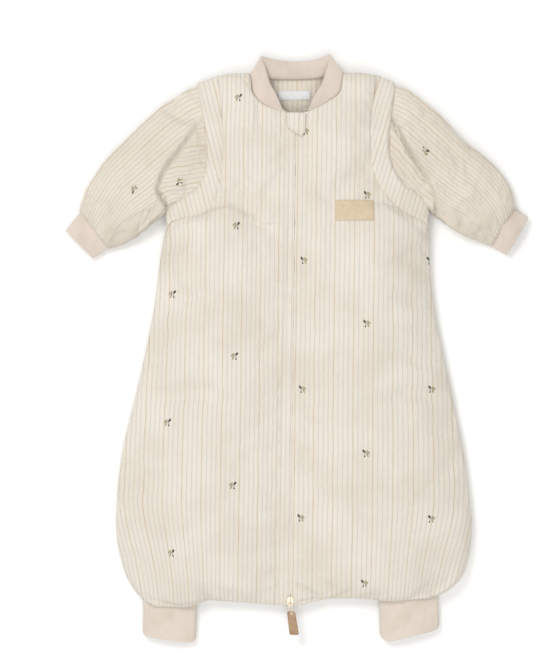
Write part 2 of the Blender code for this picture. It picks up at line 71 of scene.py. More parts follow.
# side outline from the hem to the underarm: x, y
SIDE = {
    -1: [(-204, -333), (-216, -319), (-224.5, -305), (-233.6, -278.5), (-239.4, -240), (-238.3, -199),
         (-230.3, -133), (-214.5, -67), (-199.5, 0), (-187.5, 64.7), (-181, 117.5), (-174.5, 155)],
    1: [(190, -327), (208, -316), (220, -303), (228.5, -278.5), (233, -240), (230, -199), (221, -133),
        (207.5, -67), (193, 0), (181.5, 64.7), (176.8, 117.5), (177, 155)]}
# armhole from the underarm to the shoulder: x, y, height of the front's edge, height of the back's edge
ARMHOLE = {
    -1: [(-174.5, 155, 17, 15), (-168, 168, 22, 9), (-155, 173, 25, 7), (-139, 177, 28, 5),
         (-122, 180, 30, 3.5), (-112, 191, 31, 3), (-104, 212, 32, 3), (-98.5, 240, 32, 3),
         (-97, 265, 32, 3), (-98.5, 300, 30, 4), (-101.5, 335, 27, 7), (-105, 362, 21, 21)],
    1: [(177, 155, 17, 15), (172, 168, 22, 9), (160, 174, 25, 7), (147, 180, 28, 5), (131, 191, 30, 3.5),
        (119, 205, 31, 3), (107, 223, 32, 3), (101, 243, 32, 3), (99.5, 265, 32, 3), (99, 300, 30, 4),
        (104, 335, 27, 7), (110, 362, 21, 21)]}
NECK = {
    -1: [(-61, 365), (-57.5, 337), (-43, 322.5), (-26, 315.5), (-12, 312), (-2.0, 310.5)],
    1: [(62, 365.5), (57.5, 339), (39, 325), (24, 317.5), (12, 313), (1.5, 310.5)]}
SHOULDER = {-1: [(-82.0, 365.0, 23.0)], 1: [(86.0, 365.5, 23.0)]}
LEG = {-1: (-205.0, -131.0), 1: (109.0, 189.0)}
HEM_Y = -339.0
CHIN_Y = 310.5
SHOULDER_Y = 362.0
SHOULDER_Z = 21.0
UNDERARM_Y = 140.0         # above it the rows of a front half close up towards the chin
HEM_FRONT = 23.0
# lower edge of the front from the zip to the side: x, y
HEM = {
    -1: [(-8.2, -339), (-18, -340), (-60, -337), (-100, -334.5), (-118, -333.5), (-125, -336),
         (-135, -340), (-170, -341.5), (-192, -339.5), (-204, -333)],
    1: [(-8.2, -339), (4, -339.5), (24, -335), (44, -331.5), (75, -331), (103, -332.5), (115, -334),
        (150, -332.5), (176, -330), (190, -327)]}
SEAM_Z = 15.6

BAND_WIDTH = 27.0
BAND_EDGE = {
    -1: [(-173, 183), (-160, 193), (-146, 202.5), (-131, 213), (-121.5, 233), (-118, 258), (-120.5, 290),
         (-126, 325), (-131, 353)],
    1: [(177, 191), (168, 199), (158, 206.5), (141, 218.5), (129, 236), (122, 266), (123.5, 295),
        (127.5, 325), (130, 354)]}
SLEEVE_LOWER = {
    -1: [(-173, 186), (-177, 172), (-186, 166.5), (-201, 156), (-222, 143), (-236, 137), (-250, 132.5)],
    1: [(177, 193), (180, 176), (191, 168), (207, 156.5), (224, 149), (242, 143), (259, 136)]}
SLEEVE_UPPER = {
    -1: [(-128, 352), (-147, 343.5), (-167, 330.5), (-196, 306), (-222, 280), (-249, 252.5),
         (-268, 227.5), (-284, 199), (-289, 184)],
    1: [(128, 353), (148.5, 344.5), (167, 331), (196, 305), (223, 277.5), (253, 251), (275, 225.5),
        (286, 203), (289, 187.5)]}
SLEEVE_LENGTH = 190.0
SLEEVE_CHORD = {-1: ((-184.0, 168.5), (-140.0, 347.0)), 1: ((188.0, 172.0), (140.0, 348.0))}
CUFF_NEAR = {-1: ((-251.5, 133.5), (-288.5, 182.5)), 1: ((259.5, 137), (289.0, 186))}
CUFF_FAR = {-1: ((-270.5, 120.5), (-307.5, 157)), 1: ((280.5, 125), (309.0, 175))}
LEG_TOP = -326.0
LEG_CUFF = {
    -1: ((-203.5, -131.5), ((-204.5, -376), (-202.5, -380.5), (-190, -384), (-165, -387.5), (-145, -390),
                            (-137, -389.5), (-134.0, -385))),
    1: ((109.5, 188.5), ((111.0, -375), (113.5, -384), (121, -388.5), (135, -386.5), (160, -380),
                         (182, -374.5), (188.5, -371.5), (190.0, -367)))}

COLLAR_SEAM = {
    -1: [(-61, 364), (-57, 338.5), (-43, 324), (-27, 316.8), (-11, 312.6)],
    1: [(62, 364), (57.5, 340.5), (39, 326), (26, 320), (13, 315)]}
COLLAR_FREE = {
    -1: [(-45.5, 386.5), (-39, 366), (-34.5, 351), (-26.5, 336), (-17, 313)],
    1: [(45.5, 389), (38.5, 366), (32.5, 349), (23.5, 334), (14.5, 313.5)]}
COLLAR_BACK_SEAM = [(-60, 365), (-42, 361.5), (-26, 360.5), (-9, 360.5), (18, 361), (36, 363), (61, 365.5)]
COLLAR_BACK_FREE = [(-46.5, 387.5), (-30, 384), (-12, 382), (5, 381.5), (22, 383), (34, 386.5), (44, 390)]

STRIPE_PITCH = 6.3
SPRIG_GRID = (83.0, 170.0)
HALF_DROP = 0.52          # how far every second column of sprigs is dropped, in rows
SPRIG_ORIGIN = {-1: (-76.0, 161.0), 1: (12.0, 117.0)}


# ---------------------------------------------------------------- curves and fields

def mix(a, b, t):
    return a + (b - a) * t


def around(count):
    """Points of a unit circle."""
    return [(math.cos(math.tau * k / count), math.sin(math.tau * k / count)) for k in range(count)]


def smooth(x):
    x = np.clip(x, 0.0, 1.0)
    return x * x * (3.0 - 2.0 * x)


def quarter(distance, radius):
    """Quarter-circle profile: 0 at the seam and 1 from the radius inwards."""
    reach = np.clip(np.asarray(distance) / radius, 0.0, 1.0)
    return np.sqrt(1.0 - (1.0 - reach) ** 2)


def window(x, low, high, ramp):
    """1 between low and high, easing to 0 over the ramp on both sides."""
    return smooth(np.minimum(x - low, high - x) / ramp + 1.0)


def spline(points):
    """Dense smooth curve through the points."""
    p = np.array(points, float)
    gap = np.linalg.norm(np.diff(p, axis=0), axis=1)
    place = np.concatenate(([0.0], np.cumsum(gap)))
    slope = np.gradient(p, place, axis=0)
    fine = np.linspace(0.0, place[-1], 24 * len(p))
    k = np.clip(np.searchsorted(place, fine, side="right") - 1, 0, len(p) - 2)
    h = (place[k + 1] - place[k])[:, None]
    t = (fine - place[k])[:, None] / h
    a = (2 * t ** 3 - 3 * t ** 2 + 1) * p[k] + (t ** 3 - 2 * t ** 2 + t) * h * slope[k]
    b = (-2 * t ** 3 + 3 * t ** 2) * p[k + 1] + (t ** 3 - t ** 2) * h * slope[k + 1]
    return a + b


def lengths(points):
    return np.concatenate(([0.0], np.cumsum(np.linalg.norm(np.diff(points[:, :2], axis=0), axis=1))))


def sample(points, fractions):
    """Points at fractions of a polyline's length in plan."""
    place = lengths(points)
    at = np.asarray(fractions) * place[-1]
    return np.stack([np.interp(at, place, points[:, c]) for c in range(points.shape[1])], axis=1)


def joined(*curves):
    return np.concatenate([curves[0]] + [c[1:] for c in curves[1:]])


def with_height(curve, heights):
    """Adds heights to a plan curve, spread evenly along it."""
    along = lengths(curve) / lengths(curve)[-1]
    z = np.interp(along, np.linspace(0.0, 1.0, len(heights)), heights)
    return np.column_stack((curve[:, :2], z))


def distance_to(points, curve):
    """Plan distance from each point to a polyline."""
    p = points.reshape(-1, points.shape[-1])[:, None, :2]
    a = curve[None, :-1, :2]
    d = curve[None, 1:, :2] - a
    t = np.clip(((p - a) * d).sum(-1) / np.maximum((d * d).sum(-1), 1e-9), 0.0, 1.0)
    return np.linalg.norm(p - a - d * t[..., None], axis=-1).min(1).reshape(points.shape[:-1])


def coons(left, right, low, high, s, t):
    """Patch between four boundary curves: left and right run with t, low and high with s."""
    s = s[None, :, None]
    t = t[:, None, None]
    between = (1 - s) * left[:, None] + s * right[:, None]
    across = (1 - t) * low[None] + t * high[None]
    corners = (1 - s) * (1 - t) * low[0] + s * (1 - t) * low[-1] + (1 - s) * t * high[0] + s * t * high[-1]
    return between + across - corners


def waves(points, size, seed, stretch=(1.0, 1.0)):
    """Smooth noise between about -1 and 1 with features of the given size."""
    flat = points.reshape(-1, points.shape[-1])
    values = [noise.noise(Vector((x * stretch[0] / size, y * stretch[1] / size, seed)))
              for x, y in flat[:, :2]]
    return 1.6 * np.array(values).reshape(points.shape[:-1])


def beside(points, path):
    """Signed plan distance to a path, positive on its left, and the place along it from 0 to 1."""
    p = points.reshape(-1, points.shape[-1])[:, :2]
    c = spline(path)
    d = np.diff(c, axis=0)
    rel = p[:, None] - c[None, :-1]
    t = np.clip((rel * d[None]).sum(-1) / (d * d).sum(-1), 0.0, 1.0)
    dist = np.linalg.norm(rel - d[None] * t[..., None], axis=-1)
    k = dist.argmin(1)
    every = np.arange(len(p))
    turn = d[k, 0] * rel[every, k, 1] - d[k, 1] * rel[every, k, 0]
    return dist[every, k] * np.sign(turn), (k + t[every, k]) / len(d)


def crease(points, path, reach, height, sharp=1.5, fade=0.25):
    """A fold of cloth along a path: a steep step on its right-hand side that dies away to the left."""
    signed, along = beside(points, path)
    ends = smooth(along / fade) * smooth((1.0 - along) / fade)
    ends[(along <= 0.0) | (along >= 1.0)] = 0.0
    step = smooth((signed + sharp) / (2 * sharp)) * np.exp(-np.maximum(signed, 0.0) / reach)
    dip = -0.35 * np.exp(-(np.minimum(signed, 0.0) / (0.5 * reach)) ** 2) * (signed < 0)
    return (height * ends * (step + dip)).reshape(points.shape[:-1])


def below(points, path, blur):
    """0 on the upper side of a path that runs down from the shoulder, and 1 on the side of the chest."""
    signed = beside(points, path)[0] * -np.sign(path[0][0])
    return smooth(0.5 + 0.5 * signed / blur).reshape(points.shape[:-1])


def zip_x(y):
    return ZIP_HEM[0] + (ZIP_CHIN[0] - ZIP_HEM[0]) * (y - ZIP_HEM[1]) / (ZIP_CHIN[1] - ZIP_HEM[1])


def zip_z(y):
    return ZIP_HEM[2] + (ZIP_CHIN[2] - ZIP_HEM[2]) * (y - ZIP_HEM[1]) / (ZIP_CHIN[1] - ZIP_HEM[1])


# ---------------------------------------------------------------- meshes

def make_mesh(name, verts, faces, uv, looks, face_looks=None):
    """Smooth mesh from millimetre vertices, with one UV pair in metres for each vertex."""
    mesh = bpy.data.meshes.new(name)
    verts = np.asarray(verts, float) * MM
    mesh.from_pydata(verts.tolist(), [], [tuple(int(i) for i in f) for f in faces])
    layer = mesh.uv_layers.new(name="UVMap")
    index = np.zeros(len(mesh.loops), np.int32)
    mesh.loops.foreach_get("vertex_index", index)
    layer.data.foreach_set("uv", (np.asarray(uv, float)[index] * MM).astype(np.float32).ravel())
    for look in looks:
        mesh.materials.append(look)
    if face_looks is not None:
        mesh.polygons.foreach_set("material_index", np.asarray(face_looks, np.int32))
    mesh.polygons.foreach_set("use_smooth", [True] * len(mesh.polygons))
    mesh.update()
    item = bpy.data.objects.new(name, mesh)
    bpy.context.scene.collection.objects.link(item)
    return item


def rim_of(grid):
    """True along the four edges of a grid."""
    rim = np.ones(grid.shape[:2], bool)
    rim[1:-1, 1:-1] = False
    return rim


def grid_faces(index, flip=False, wrap=False):
    """Quads over a grid of vertex indices; wrap joins the last column to the first."""
    if wrap:
        index = np.concatenate((index, index[:, :1]), axis=1)
    a, b = index[:-1, :-1].ravel(), index[:-1, 1:].ravel()
    c, d = index[1:, 1:].ravel(), index[1:, :-1].ravel()
    quads = np.stack((a, b, c, d), axis=1)
    return quads[:, ::-1] if flip else quads


def pillow(name, top, bottom, uv, looks):
    """Closed padded panel: two grids that share their rim. The first look covers the outer face."""
    rows, columns = top.shape[:2]
    inner = ~rim_of(top)
    count = rows * columns
    upper_index = np.arange(count).reshape(rows, columns)
    lower_index = upper_index.copy()
    lower_index[inner] = count + np.arange(inner.sum())
    verts = np.concatenate((top.reshape(-1, 3), bottom[inner]))
    coords = np.concatenate((uv.reshape(-1, 2), uv[inner] + LINING_SHIFT))
    upper = grid_faces(upper_index)
    lower = grid_faces(lower_index, True)
    looks_of = np.concatenate((np.zeros(len(upper), int), np.ones(len(lower), int)))
    item = make_mesh(name, verts, np.concatenate((upper, lower)), coords, looks, looks_of)
    return item, upper_index, lower_index


def tube(name, outer, inner, uv, looks):
    """Open-ended padded tube between two grids of rings, closed along its end rims."""
    rows, columns = outer.shape[:2]
    count = rows * columns
    outer_index = np.arange(count).reshape(rows, columns)
    inner_index = outer_index + count
    verts = np.concatenate((outer.reshape(-1, 3), inner.reshape(-1, 3)))
    coords = np.concatenate((uv.reshape(-1, 2), uv.reshape(-1, 2) + LINING_SHIFT))
    faces = [grid_faces(outer_index, False, True), grid_faces(inner_index, True, True)]
    for row, flip in ((0, True), (rows - 1, False)):
        faces.append(grid_faces(np.stack((outer_index[row], inner_index[row])), flip, True))
    looks_of = np.concatenate([np.full(len(f), k) for f, k in zip(faces, (0, 1, 0, 0))])
    item = make_mesh(name, verts, np.concatenate(faces), coords, looks, looks_of)
    return item, outer_index, inner_index


def outward(item):
    """Turns the faces outwards when the closed mesh came out inside out."""
    mesh = item.data
    mesh.calc_loop_triangles()
    co = coordinates(item)
    tris = np.zeros(len(mesh.loop_triangles) * 3, np.int32)
    mesh.loop_triangles.foreach_get("vertices", tris)
    a, b, c = (co[tris.reshape(-1, 3)[:, k]] for k in range(3))
    if (np.cross(a, b) * c).sum() < 0:
        mesh.flip_normals()
    return item


def coordinates(item):
    co = np.zeros(len(item.data.vertices) * 3, np.float32)
    item.data.vertices.foreach_get("co", co)
    return co.reshape(-1, 3).astype(float)


def set_coordinates(item, co):
    item.data.vertices.foreach_set("co", co.astype(np.float32).ravel())
    item.data.update()


def normals(item):
    n = np.zeros(len(item.data.vertices) * 3, np.float32)
    item.data.vertices.foreach_get("normal", n)
    return n.reshape(-1, 3).astype(float)


def evaluated_copy(item):
    """Applies the modifiers of an item."""
    graph = bpy.context.evaluated_depsgraph_get()
    source = item.evaluated_get(graph)
    mesh = bpy.data.meshes.new_from_object(source, preserve_all_data_layers=True, depsgraph=graph)
    item.modifiers.clear()
    old = item.data
    item.data = mesh
    bpy.data.meshes.remove(old)
    return item


def puff_up(item, pinned, pressure, growth, cap, stiffness=12.0, frames=20):
    """Cloth simulation under air pressure. Pinned vertices stay, and no vertex moves further than the cap."""
    rest = coordinates(item)
    group = item.vertex_groups.new(name="pinned")
    group.add([int(i) for i in pinned], 1.0, "REPLACE")
    cloth = item.modifiers.new("cloth", "CLOTH")
    settings = cloth.settings
    settings.quality = 6
    settings.mass = 0.25
    settings.tension_stiffness = stiffness
    settings.compression_stiffness = stiffness
    settings.shear_stiffness = stiffness * 0.4
    settings.bending_stiffness = 0.6
    settings.air_damping = 2.0
    settings.vertex_group_mass = "pinned"
    settings.use_pressure = True
    settings.uniform_pressure_force = pressure
    settings.shrink_min = -growth
    settings.effector_weights.gravity = 0.0
    cloth.collision_settings.use_collision = False
    cloth.point_cache.frame_start = 1
    cloth.point_cache.frame_end = frames
    scene = bpy.context.scene
    for step in range(1, frames + 1):
        scene.frame_set(step)
    graph = bpy.context.evaluated_depsgraph_get()
    moved = np.zeros(len(rest) * 3, np.float32)
    item.evaluated_get(graph).data.vertices.foreach_get("co", moved)
    item.modifiers.remove(cloth)
    scene.frame_set(1)
    shift = moved.reshape(-1, 3).astype(float) - rest
    size = np.linalg.norm(shift, axis=1, keepdims=True)
    limit = cap * MM
    shift *= limit * np.tanh(size / limit) / np.maximum(size, 1e-9)
    set_coordinates(item, rest + shift)


def refine(item, crinkle=0.0, size=9.0, seed=3.0):
    """One subdivision, then a fine crinkle of the cloth along its normals."""
    modifier = item.modifiers.new("subdivision", "SUBSURF")
    modifier.levels = 1
    modifier.render_levels = 1
    modifier.boundary_smooth = "ALL"
    evaluated_copy(item)
    if crinkle:
        co = coordinates(item)
        fine = waves(co / MM, size, seed, (1.0, 0.35))
        fine = fine + 0.5 * waves(co / MM, size * 0.45, seed + 4.0, (1.0, 0.4))
        set_coordinates(item, co + normals(item) * (crinkle * MM * fine)[:, None])
    return item


def groove(item, path, depth, width, fade=0.2):
    """Presses a narrow fold line into the upper surface of a finished piece."""
    co, up = coordinates(item), normals(item)[:, 2]
    c = spline(path)[:, :2]
    flat = co[:, :2] / MM
    near = distance_to(flat, c) / width
    ends = np.minimum(np.linalg.norm(flat - c[0], axis=1), np.linalg.norm(flat - c[-1], axis=1))
    ends = smooth(ends / (fade * lengths(c)[-1]))
    upper = smooth((up - 0.1) / 0.4) * (co[:, 2] > 0.011)
    co[:, 2] -= depth * MM * np.exp(-near ** 2) * ends * upper
    set_coordinates(item, co)


# ---------------------------------------------------------------- materials

class Shader:
    """Small helper that builds one node material."""

    def __init__(self, name, roughness=0.9, **constants):
        self.material = bpy.data.materials.new(name)
        self.material.use_nodes = True
        self.tree = self.material.node_tree
        self.surface = self.tree.nodes["Principled BSDF"]
        self.surface.inputs["Roughness"].default_value = roughness
        for socket, value in constants.items():
            self.surface.inputs[socket.replace("_", " ")].default_value = value

    def node(self, kind, settings=None, **inputs):
        made = self.tree.nodes.new(kind)
        for key, value in (settings or {}).items():
            setattr(made, key, value)
        for key, value in inputs.items():
            socket = int(key[1:]) if key[0] == "i" and key[1:].isdigit() else key.replace("_", " ")
            self.feed(made.inputs[socket], value)
        return made

    def feed(self, socket, value):
        if isinstance(value, bpy.types.NodeSocket):
            self.tree.links.new(value, socket)
        elif value is not None:
            socket.default_value = value

    def math(self, operation, a, b=None, c=None):
        made = self.node("ShaderNodeMath", {"operation": operation})
        for socket, value in zip(made.inputs, (a, b, c)):
            self.feed(socket, value)
        return made.outputs[0]

    def ramp(self, value, low, high, start=0.0, end=1.0):
        """Smooth step of a value from low..high to start..end."""
        made = self.node("ShaderNodeMapRange", {"interpolation_type": "SMOOTHSTEP"})
        inputs = {"Value": value, "From Min": low, "From Max": high, "To Min": start, "To Max": end}
        for key, number in inputs.items():
            self.feed(made.inputs[key], number)
        return made.outputs[0]

    def blend(self, a, b, factor, mode="MIX"):
        made = self.node("ShaderNodeMix", {"data_type": "RGBA", "blend_type": mode})
        self.feed(made.inputs[0], factor)
        self.feed(made.inputs[6], a)
        self.feed(made.inputs[7], b)
        return made.outputs[2]

    def uv(self):
        return self.node("ShaderNodeUVMap", {"uv_map": "UVMap"}).outputs[0]

    def place(self):
        return self.node("ShaderNodeTexCoord").outputs["Object"]

    def split(self, vector):
        made = self.node("ShaderNodeSeparateXYZ", i0=vector)
        return made.outputs[0], made.outputs[1], made.outputs[2]

    def join(self, x, y, z=0.0):
        made = self.node("ShaderNodeCombineXYZ")
        for socket, value in zip(made.inputs, (x, y, z)):
            self.feed(socket, value)
        return made.outputs[0]

    def clouds(self, vector, scale, detail=2.0):
        return self.node("ShaderNodeTexNoise", None, Vector=vector, Scale=scale, Detail=detail).outputs[0]

    def bump(self, height, distance, strength=1.0, normal=None):
        made = self.node("ShaderNodeBump", None, Height=height, Distance=distance, Strength=strength)
        if normal is not None:
            self.feed(made.inputs["Normal"], normal)
        return made.outputs[0]

    def finish(self, colour, normal=None, roughness=None):
        self.feed(self.surface.inputs["Base Color"], colour)
        if normal is not None:
            self.feed(self.surface.inputs["Normal"], normal)
        if roughness is not None:
            self.feed(self.surface.inputs["Roughness"], roughness)
        return self.material


def rgb(red, green, blue):
    """Linear colour from 8-bit display values."""
    def linear(value):
        value /= 255.0
        return value / 12.92 if value <= 0.04045 else ((value + 0.055) / 1.055) ** 2.4
    return (linear(red), linear(green), linear(blue), 1.0)


CREAM = rgb(229, 222, 211)
CREAM_DARK = rgb(219, 211, 197)
OCHRE = rgb(192, 175, 146)
OCHRE_SOFT = rgb(202, 192, 171)
GREY = rgb(197, 194, 188)


def ellipse(shader, x, y, centre, radii, angle):
    """Soft mask of a turned ellipse in a sprig's own coordinates, in metres."""
    turn = math.radians(angle)
    dx = shader.math("SUBTRACT", x, centre[0] * MM)
    dy = shader.math("SUBTRACT", y, centre[1] * MM)
    along = shader.math("ADD", shader.math("MULTIPLY", dx, math.cos(turn) / (radii[0] * MM)),
                        shader.math("MULTIPLY", dy, math.sin(turn) / (radii[0] * MM)))
    across = shader.math("SUBTRACT", shader.math("MULTIPLY", dy, math.cos(turn) / (radii[1] * MM)),
                         shader.math("MULTIPLY", dx, math.sin(turn) / (radii[1] * MM)))
    size = shader.math("SQRT", shader.math("ADD", shader.math("MULTIPLY", along, along),
                                           shader.math("MULTIPLY", across, across)))
    return shader.ramp(size, 0.8, 1.15, 1.0, 0.0)


# centre, radii, angle and colour of a printed sprig's parts: a bud, a leaf and two stems
BUD = rgb(62, 54, 40)
LEAF = rgb(158, 150, 108)
SPRIG = [((2.2, 2.6), (2.5, 1.5), 55, BUD), ((-3.0, 1.6), (3.2, 1.3), 35, LEAF),
         ((-2.6, -3.0), (2.4, 1.0), 60, LEAF),
         ((-0.6, 0.4), (4.6, 0.42), 28, BUD), ((0.8, -2.6), (2.6, 0.42), 80, BUD),
         ((1.2, -4.2), (1.1, 0.9), 20, BUD)]


def sprigs(shader, colour, u, v, origin, flip, half_drop):
    """Prints the sprigs on a half-drop lattice over the cloth."""
    width, height = SPRIG_GRID
    column = shader.math("DIVIDE", shader.math("SUBTRACT", u, (origin[0] - width / 2) * MM), width * MM)
    index = shader.math("FLOOR", column)
    within = shader.math("SUBTRACT", shader.math("SUBTRACT", column, index), 0.5)
    x = shader.math("MULTIPLY", within, width * MM * flip)
    odd = shader.math("FLOORED_MODULO", index, 2.0)
    drop = shader.math("MULTIPLY", odd, half_drop)
    row = shader.math("DIVIDE", shader.math("SUBTRACT", v, (origin[1] - height / 2) * MM), height * MM)
    row = shader.math("ADD", row, drop)
    within = shader.math("SUBTRACT", shader.math("SUBTRACT", row, shader.math("FLOOR", row)), 0.5)
    y = shader.math("MULTIPLY", within, height * MM)
    for centre, radii, angle, ink in SPRIG:
        cover = shader.math("MULTIPLY", ellipse(shader, x, y, centre, radii, angle), 0.92)
        colour = shader.blend(colour, ink, cover)
    return colour


def muslin(name, origin=None, flip=1.0, painted_light_scale=1.0, pitch=STRIPE_PITCH, half_drop=HALF_DROP):
    """Crinkled double muslin: woven stripes, a plain weave and, with an origin, printed sprigs. Its colour
    can be scaled as painted light or painted shading.
    """
    s = Shader(name, 0.92, Sheen_Weight=0.12, Sheen_Roughness=0.5)
    s.surface.inputs["Specular IOR Level"].default_value = 0.2
    coordinate = s.uv()
    u, v, _ = s.split(coordinate)
    drift = s.clouds(s.join(s.math("MULTIPLY", u, 0.4), s.math("MULTIPLY", v, 0.6)), 22.0, 1.0)
    u_line = s.math("ADD", u, s.math("MULTIPLY", s.math("SUBTRACT", drift, 0.5), 1.6 * MM))
    cell = s.math("DIVIDE", u_line, pitch * MM)
    index = s.math("FLOOR", cell)
    middle = s.math("SUBTRACT", s.math("SUBTRACT", cell, index), 0.5)
    off = s.math("MULTIPLY", s.math("ABSOLUTE", middle), pitch)
    kind = s.math("FLOORED_MODULO", index, 4.0)
    yarn = s.clouds(s.join(s.math("MULTIPLY", u, 9.0), v), 260.0, 2.0)
    wide = s.ramp(off, 0.4, 1.0, 1.0, 0.0)
    worn = s.ramp(s.clouds(s.join(s.math("MULTIPLY", u, 3.0), v), 26.0, 2.0), 0.3, 0.7, 0.7, 1.0)
    ink = s.math("MULTIPLY", s.math("MULTIPLY", wide, s.ramp(yarn, 0.2, 0.7, 0.62, 1.0)), worn)
    first = s.math("LESS_THAN", kind, 0.5)
    third = s.math("COMPARE", kind, 2.0, 0.4)
    ochre = s.blend(GREY, OCHRE_SOFT, s.math("MULTIPLY", third, 0.8))
    line = s.blend(ochre, OCHRE, first)
    tint = s.clouds(coordinate, 14.0, 3.0)
    base = s.blend(CREAM, CREAM_DARK, s.ramp(tint, 0.3, 0.75))
    slub = s.clouds(s.join(u, s.math("MULTIPLY", v, 12.0)), 420.0, 2.0)
    base = s.blend(base, rgb(238, 232, 221), s.math("MULTIPLY", s.ramp(slub, 0.5, 0.8), 0.35))
    fleck = s.clouds(coordinate, 900.0, 1.0)
    base = s.blend(base, rgb(205, 194, 174), s.math("MULTIPLY", s.ramp(fleck, 0.62, 0.8), 0.35))
    colour = s.blend(base, line, s.math("MULTIPLY", ink, 0.78))
    if origin:
        colour = sprigs(s, colour, u, v, origin, flip, half_drop)
    # Painted light: this factor multiplies the whole colour; below 1 it paints shading on the sleeves, above
    # 1 it paints light on the lining
    if painted_light_scale != 1.0:
        colour = s.blend(colour, (painted_light_scale, painted_light_scale * 0.985, painted_light_scale * 0.96, 1.0), 1.0, "MULTIPLY")
    thread = 0.75 * MM
    warp = s.math("SINE", s.math("MULTIPLY", u, math.tau / thread))
    weft = s.math("SINE", s.math("MULTIPLY", v, math.tau / thread))
    weave = s.math("MULTIPLY", warp, weft)
    crinkle = s.clouds(s.join(s.math("MULTIPLY", u, 2.2), v), 190.0, 3.0)
    normal = s.bump(crinkle, 0.8 * MM, 0.8)
    normal = s.bump(weave, 0.12 * MM, 0.6, normal)
    normal = s.bump(ink, 0.15 * MM, 0.5, normal)
    return s.finish(colour, normal)


def rib_knit(name, red, green, blue):
    """Fine rib jersey: the ribs are geometry, the stitches within each rib are bump."""
    s = Shader(name, 0.95, Sheen_Weight=0.15, Sheen_Roughness=0.45)
    s.surface.inputs["Specular IOR Level"].default_value = 0.15
    coordinate = s.uv()
    u, v, _ = s.split(coordinate)
    tint = s.clouds(coordinate, 30.0, 3.0)
    base = s.blend(rgb(red, green, blue), rgb(red - 12, green - 13, blue - 15), s.ramp(tint, 0.3, 0.75))
    rib = s.math("SINE", s.math("MULTIPLY", u, math.tau / (RIB_PITCH * MM)))
    # Painted shading: the colour darkens along the valleys between the ribs, where the rib geometry dips
    colour = s.blend(base, rgb(red - 22, green - 26, blue - 30), s.ramp(rib, -0.2, -1.0, 0.0, 0.24))
    slant = s.math("MULTIPLY", s.math("ABSOLUTE", rib), 0.35)
    turn = s.math("MULTIPLY", v, math.tau / (0.9 * MM))
    loop = s.math("SINE", s.math("ADD", turn, s.math("MULTIPLY", slant, math.tau)))
    fuzz = s.clouds(coordinate, 1500.0, 2.0)
    normal = s.bump(loop, 0.12 * MM, 0.6)
    normal = s.bump(fuzz, 0.3 * MM, 0.5, normal)
    return s.finish(colour, normal)


def plain_weave(name, colour, dark, pitch=0.6, roughness=0.85):
    """Woven tape or label."""
    s = Shader(name, roughness, Sheen_Weight=0.1)
    place = s.place()
    x, y, _ = s.split(place)
    warp = s.math("SINE", s.math("MULTIPLY", x, math.tau / (pitch * MM)))
    weft = s.math("SINE", s.math("MULTIPLY", y, math.tau / (pitch * MM)))
    weave = s.math("MULTIPLY", warp, weft)
    tint = s.ramp(s.clouds(place, 160.0, 3.0), 0.3, 0.8)
    mixed = s.blend(colour, dark, s.math("MULTIPLY", tint, 0.6))
    mixed = s.blend(mixed, dark, s.ramp(weave, 0.2, 1.0, 0.0, 0.35))
    return s.finish(mixed, s.bump(weave, 0.15 * MM, 0.6))


def moulded(name, colour, roughness=0.4, metallic=0.0):
    """Moulded or enamelled small part with a soft, slightly uneven gloss."""
    s = Shader(name, roughness, Coat_Weight=0.15, Metallic=metallic)
    place = s.place()
    tint = s.clouds(place, 220.0, 3.0)
    darker = tuple(c * 0.86 for c in colour[:3]) + (1.0,)
    mixed = s.blend(colour, darker, s.ramp(tint, 0.35, 0.8))
    grain = s.clouds(place, 2200.0, 2.0)
    bump = s.bump(grain, 0.04 * MM, 0.5)
    return s.finish(mixed, bump, s.ramp(tint, 0.2, 0.8, roughness - 0.06, roughness + 0.1))


def leather(name, colour, dark):
    """Imitation leather with a fine pebbled grain and darker, worn edges."""
    s = Shader(name, 0.6, Coat_Weight=0.08)
    place = s.place()
    pebbles = {"feature": "DISTANCE_TO_EDGE"}
    grain = s.node("ShaderNodeTexVoronoi", pebbles, Vector=place, Scale=900.0).outputs[0]
    tint = s.clouds(place, 140.0, 4.0)
    mixed = s.blend(colour, dark, s.ramp(tint, 0.35, 0.8, 0.0, 0.7))
    edge = s.node("ShaderNodeNewGeometry").outputs["Pointiness"]
    mixed = s.blend(mixed, dark, s.ramp(edge, 0.52, 0.6, 0.0, 0.6))
    normal = s.bump(s.ramp(grain, 0.0, 0.12), 0.08 * MM, 0.6)
    return s.finish(mixed, normal, s.ramp(tint, 0.2, 0.9, 0.5, 0.68))


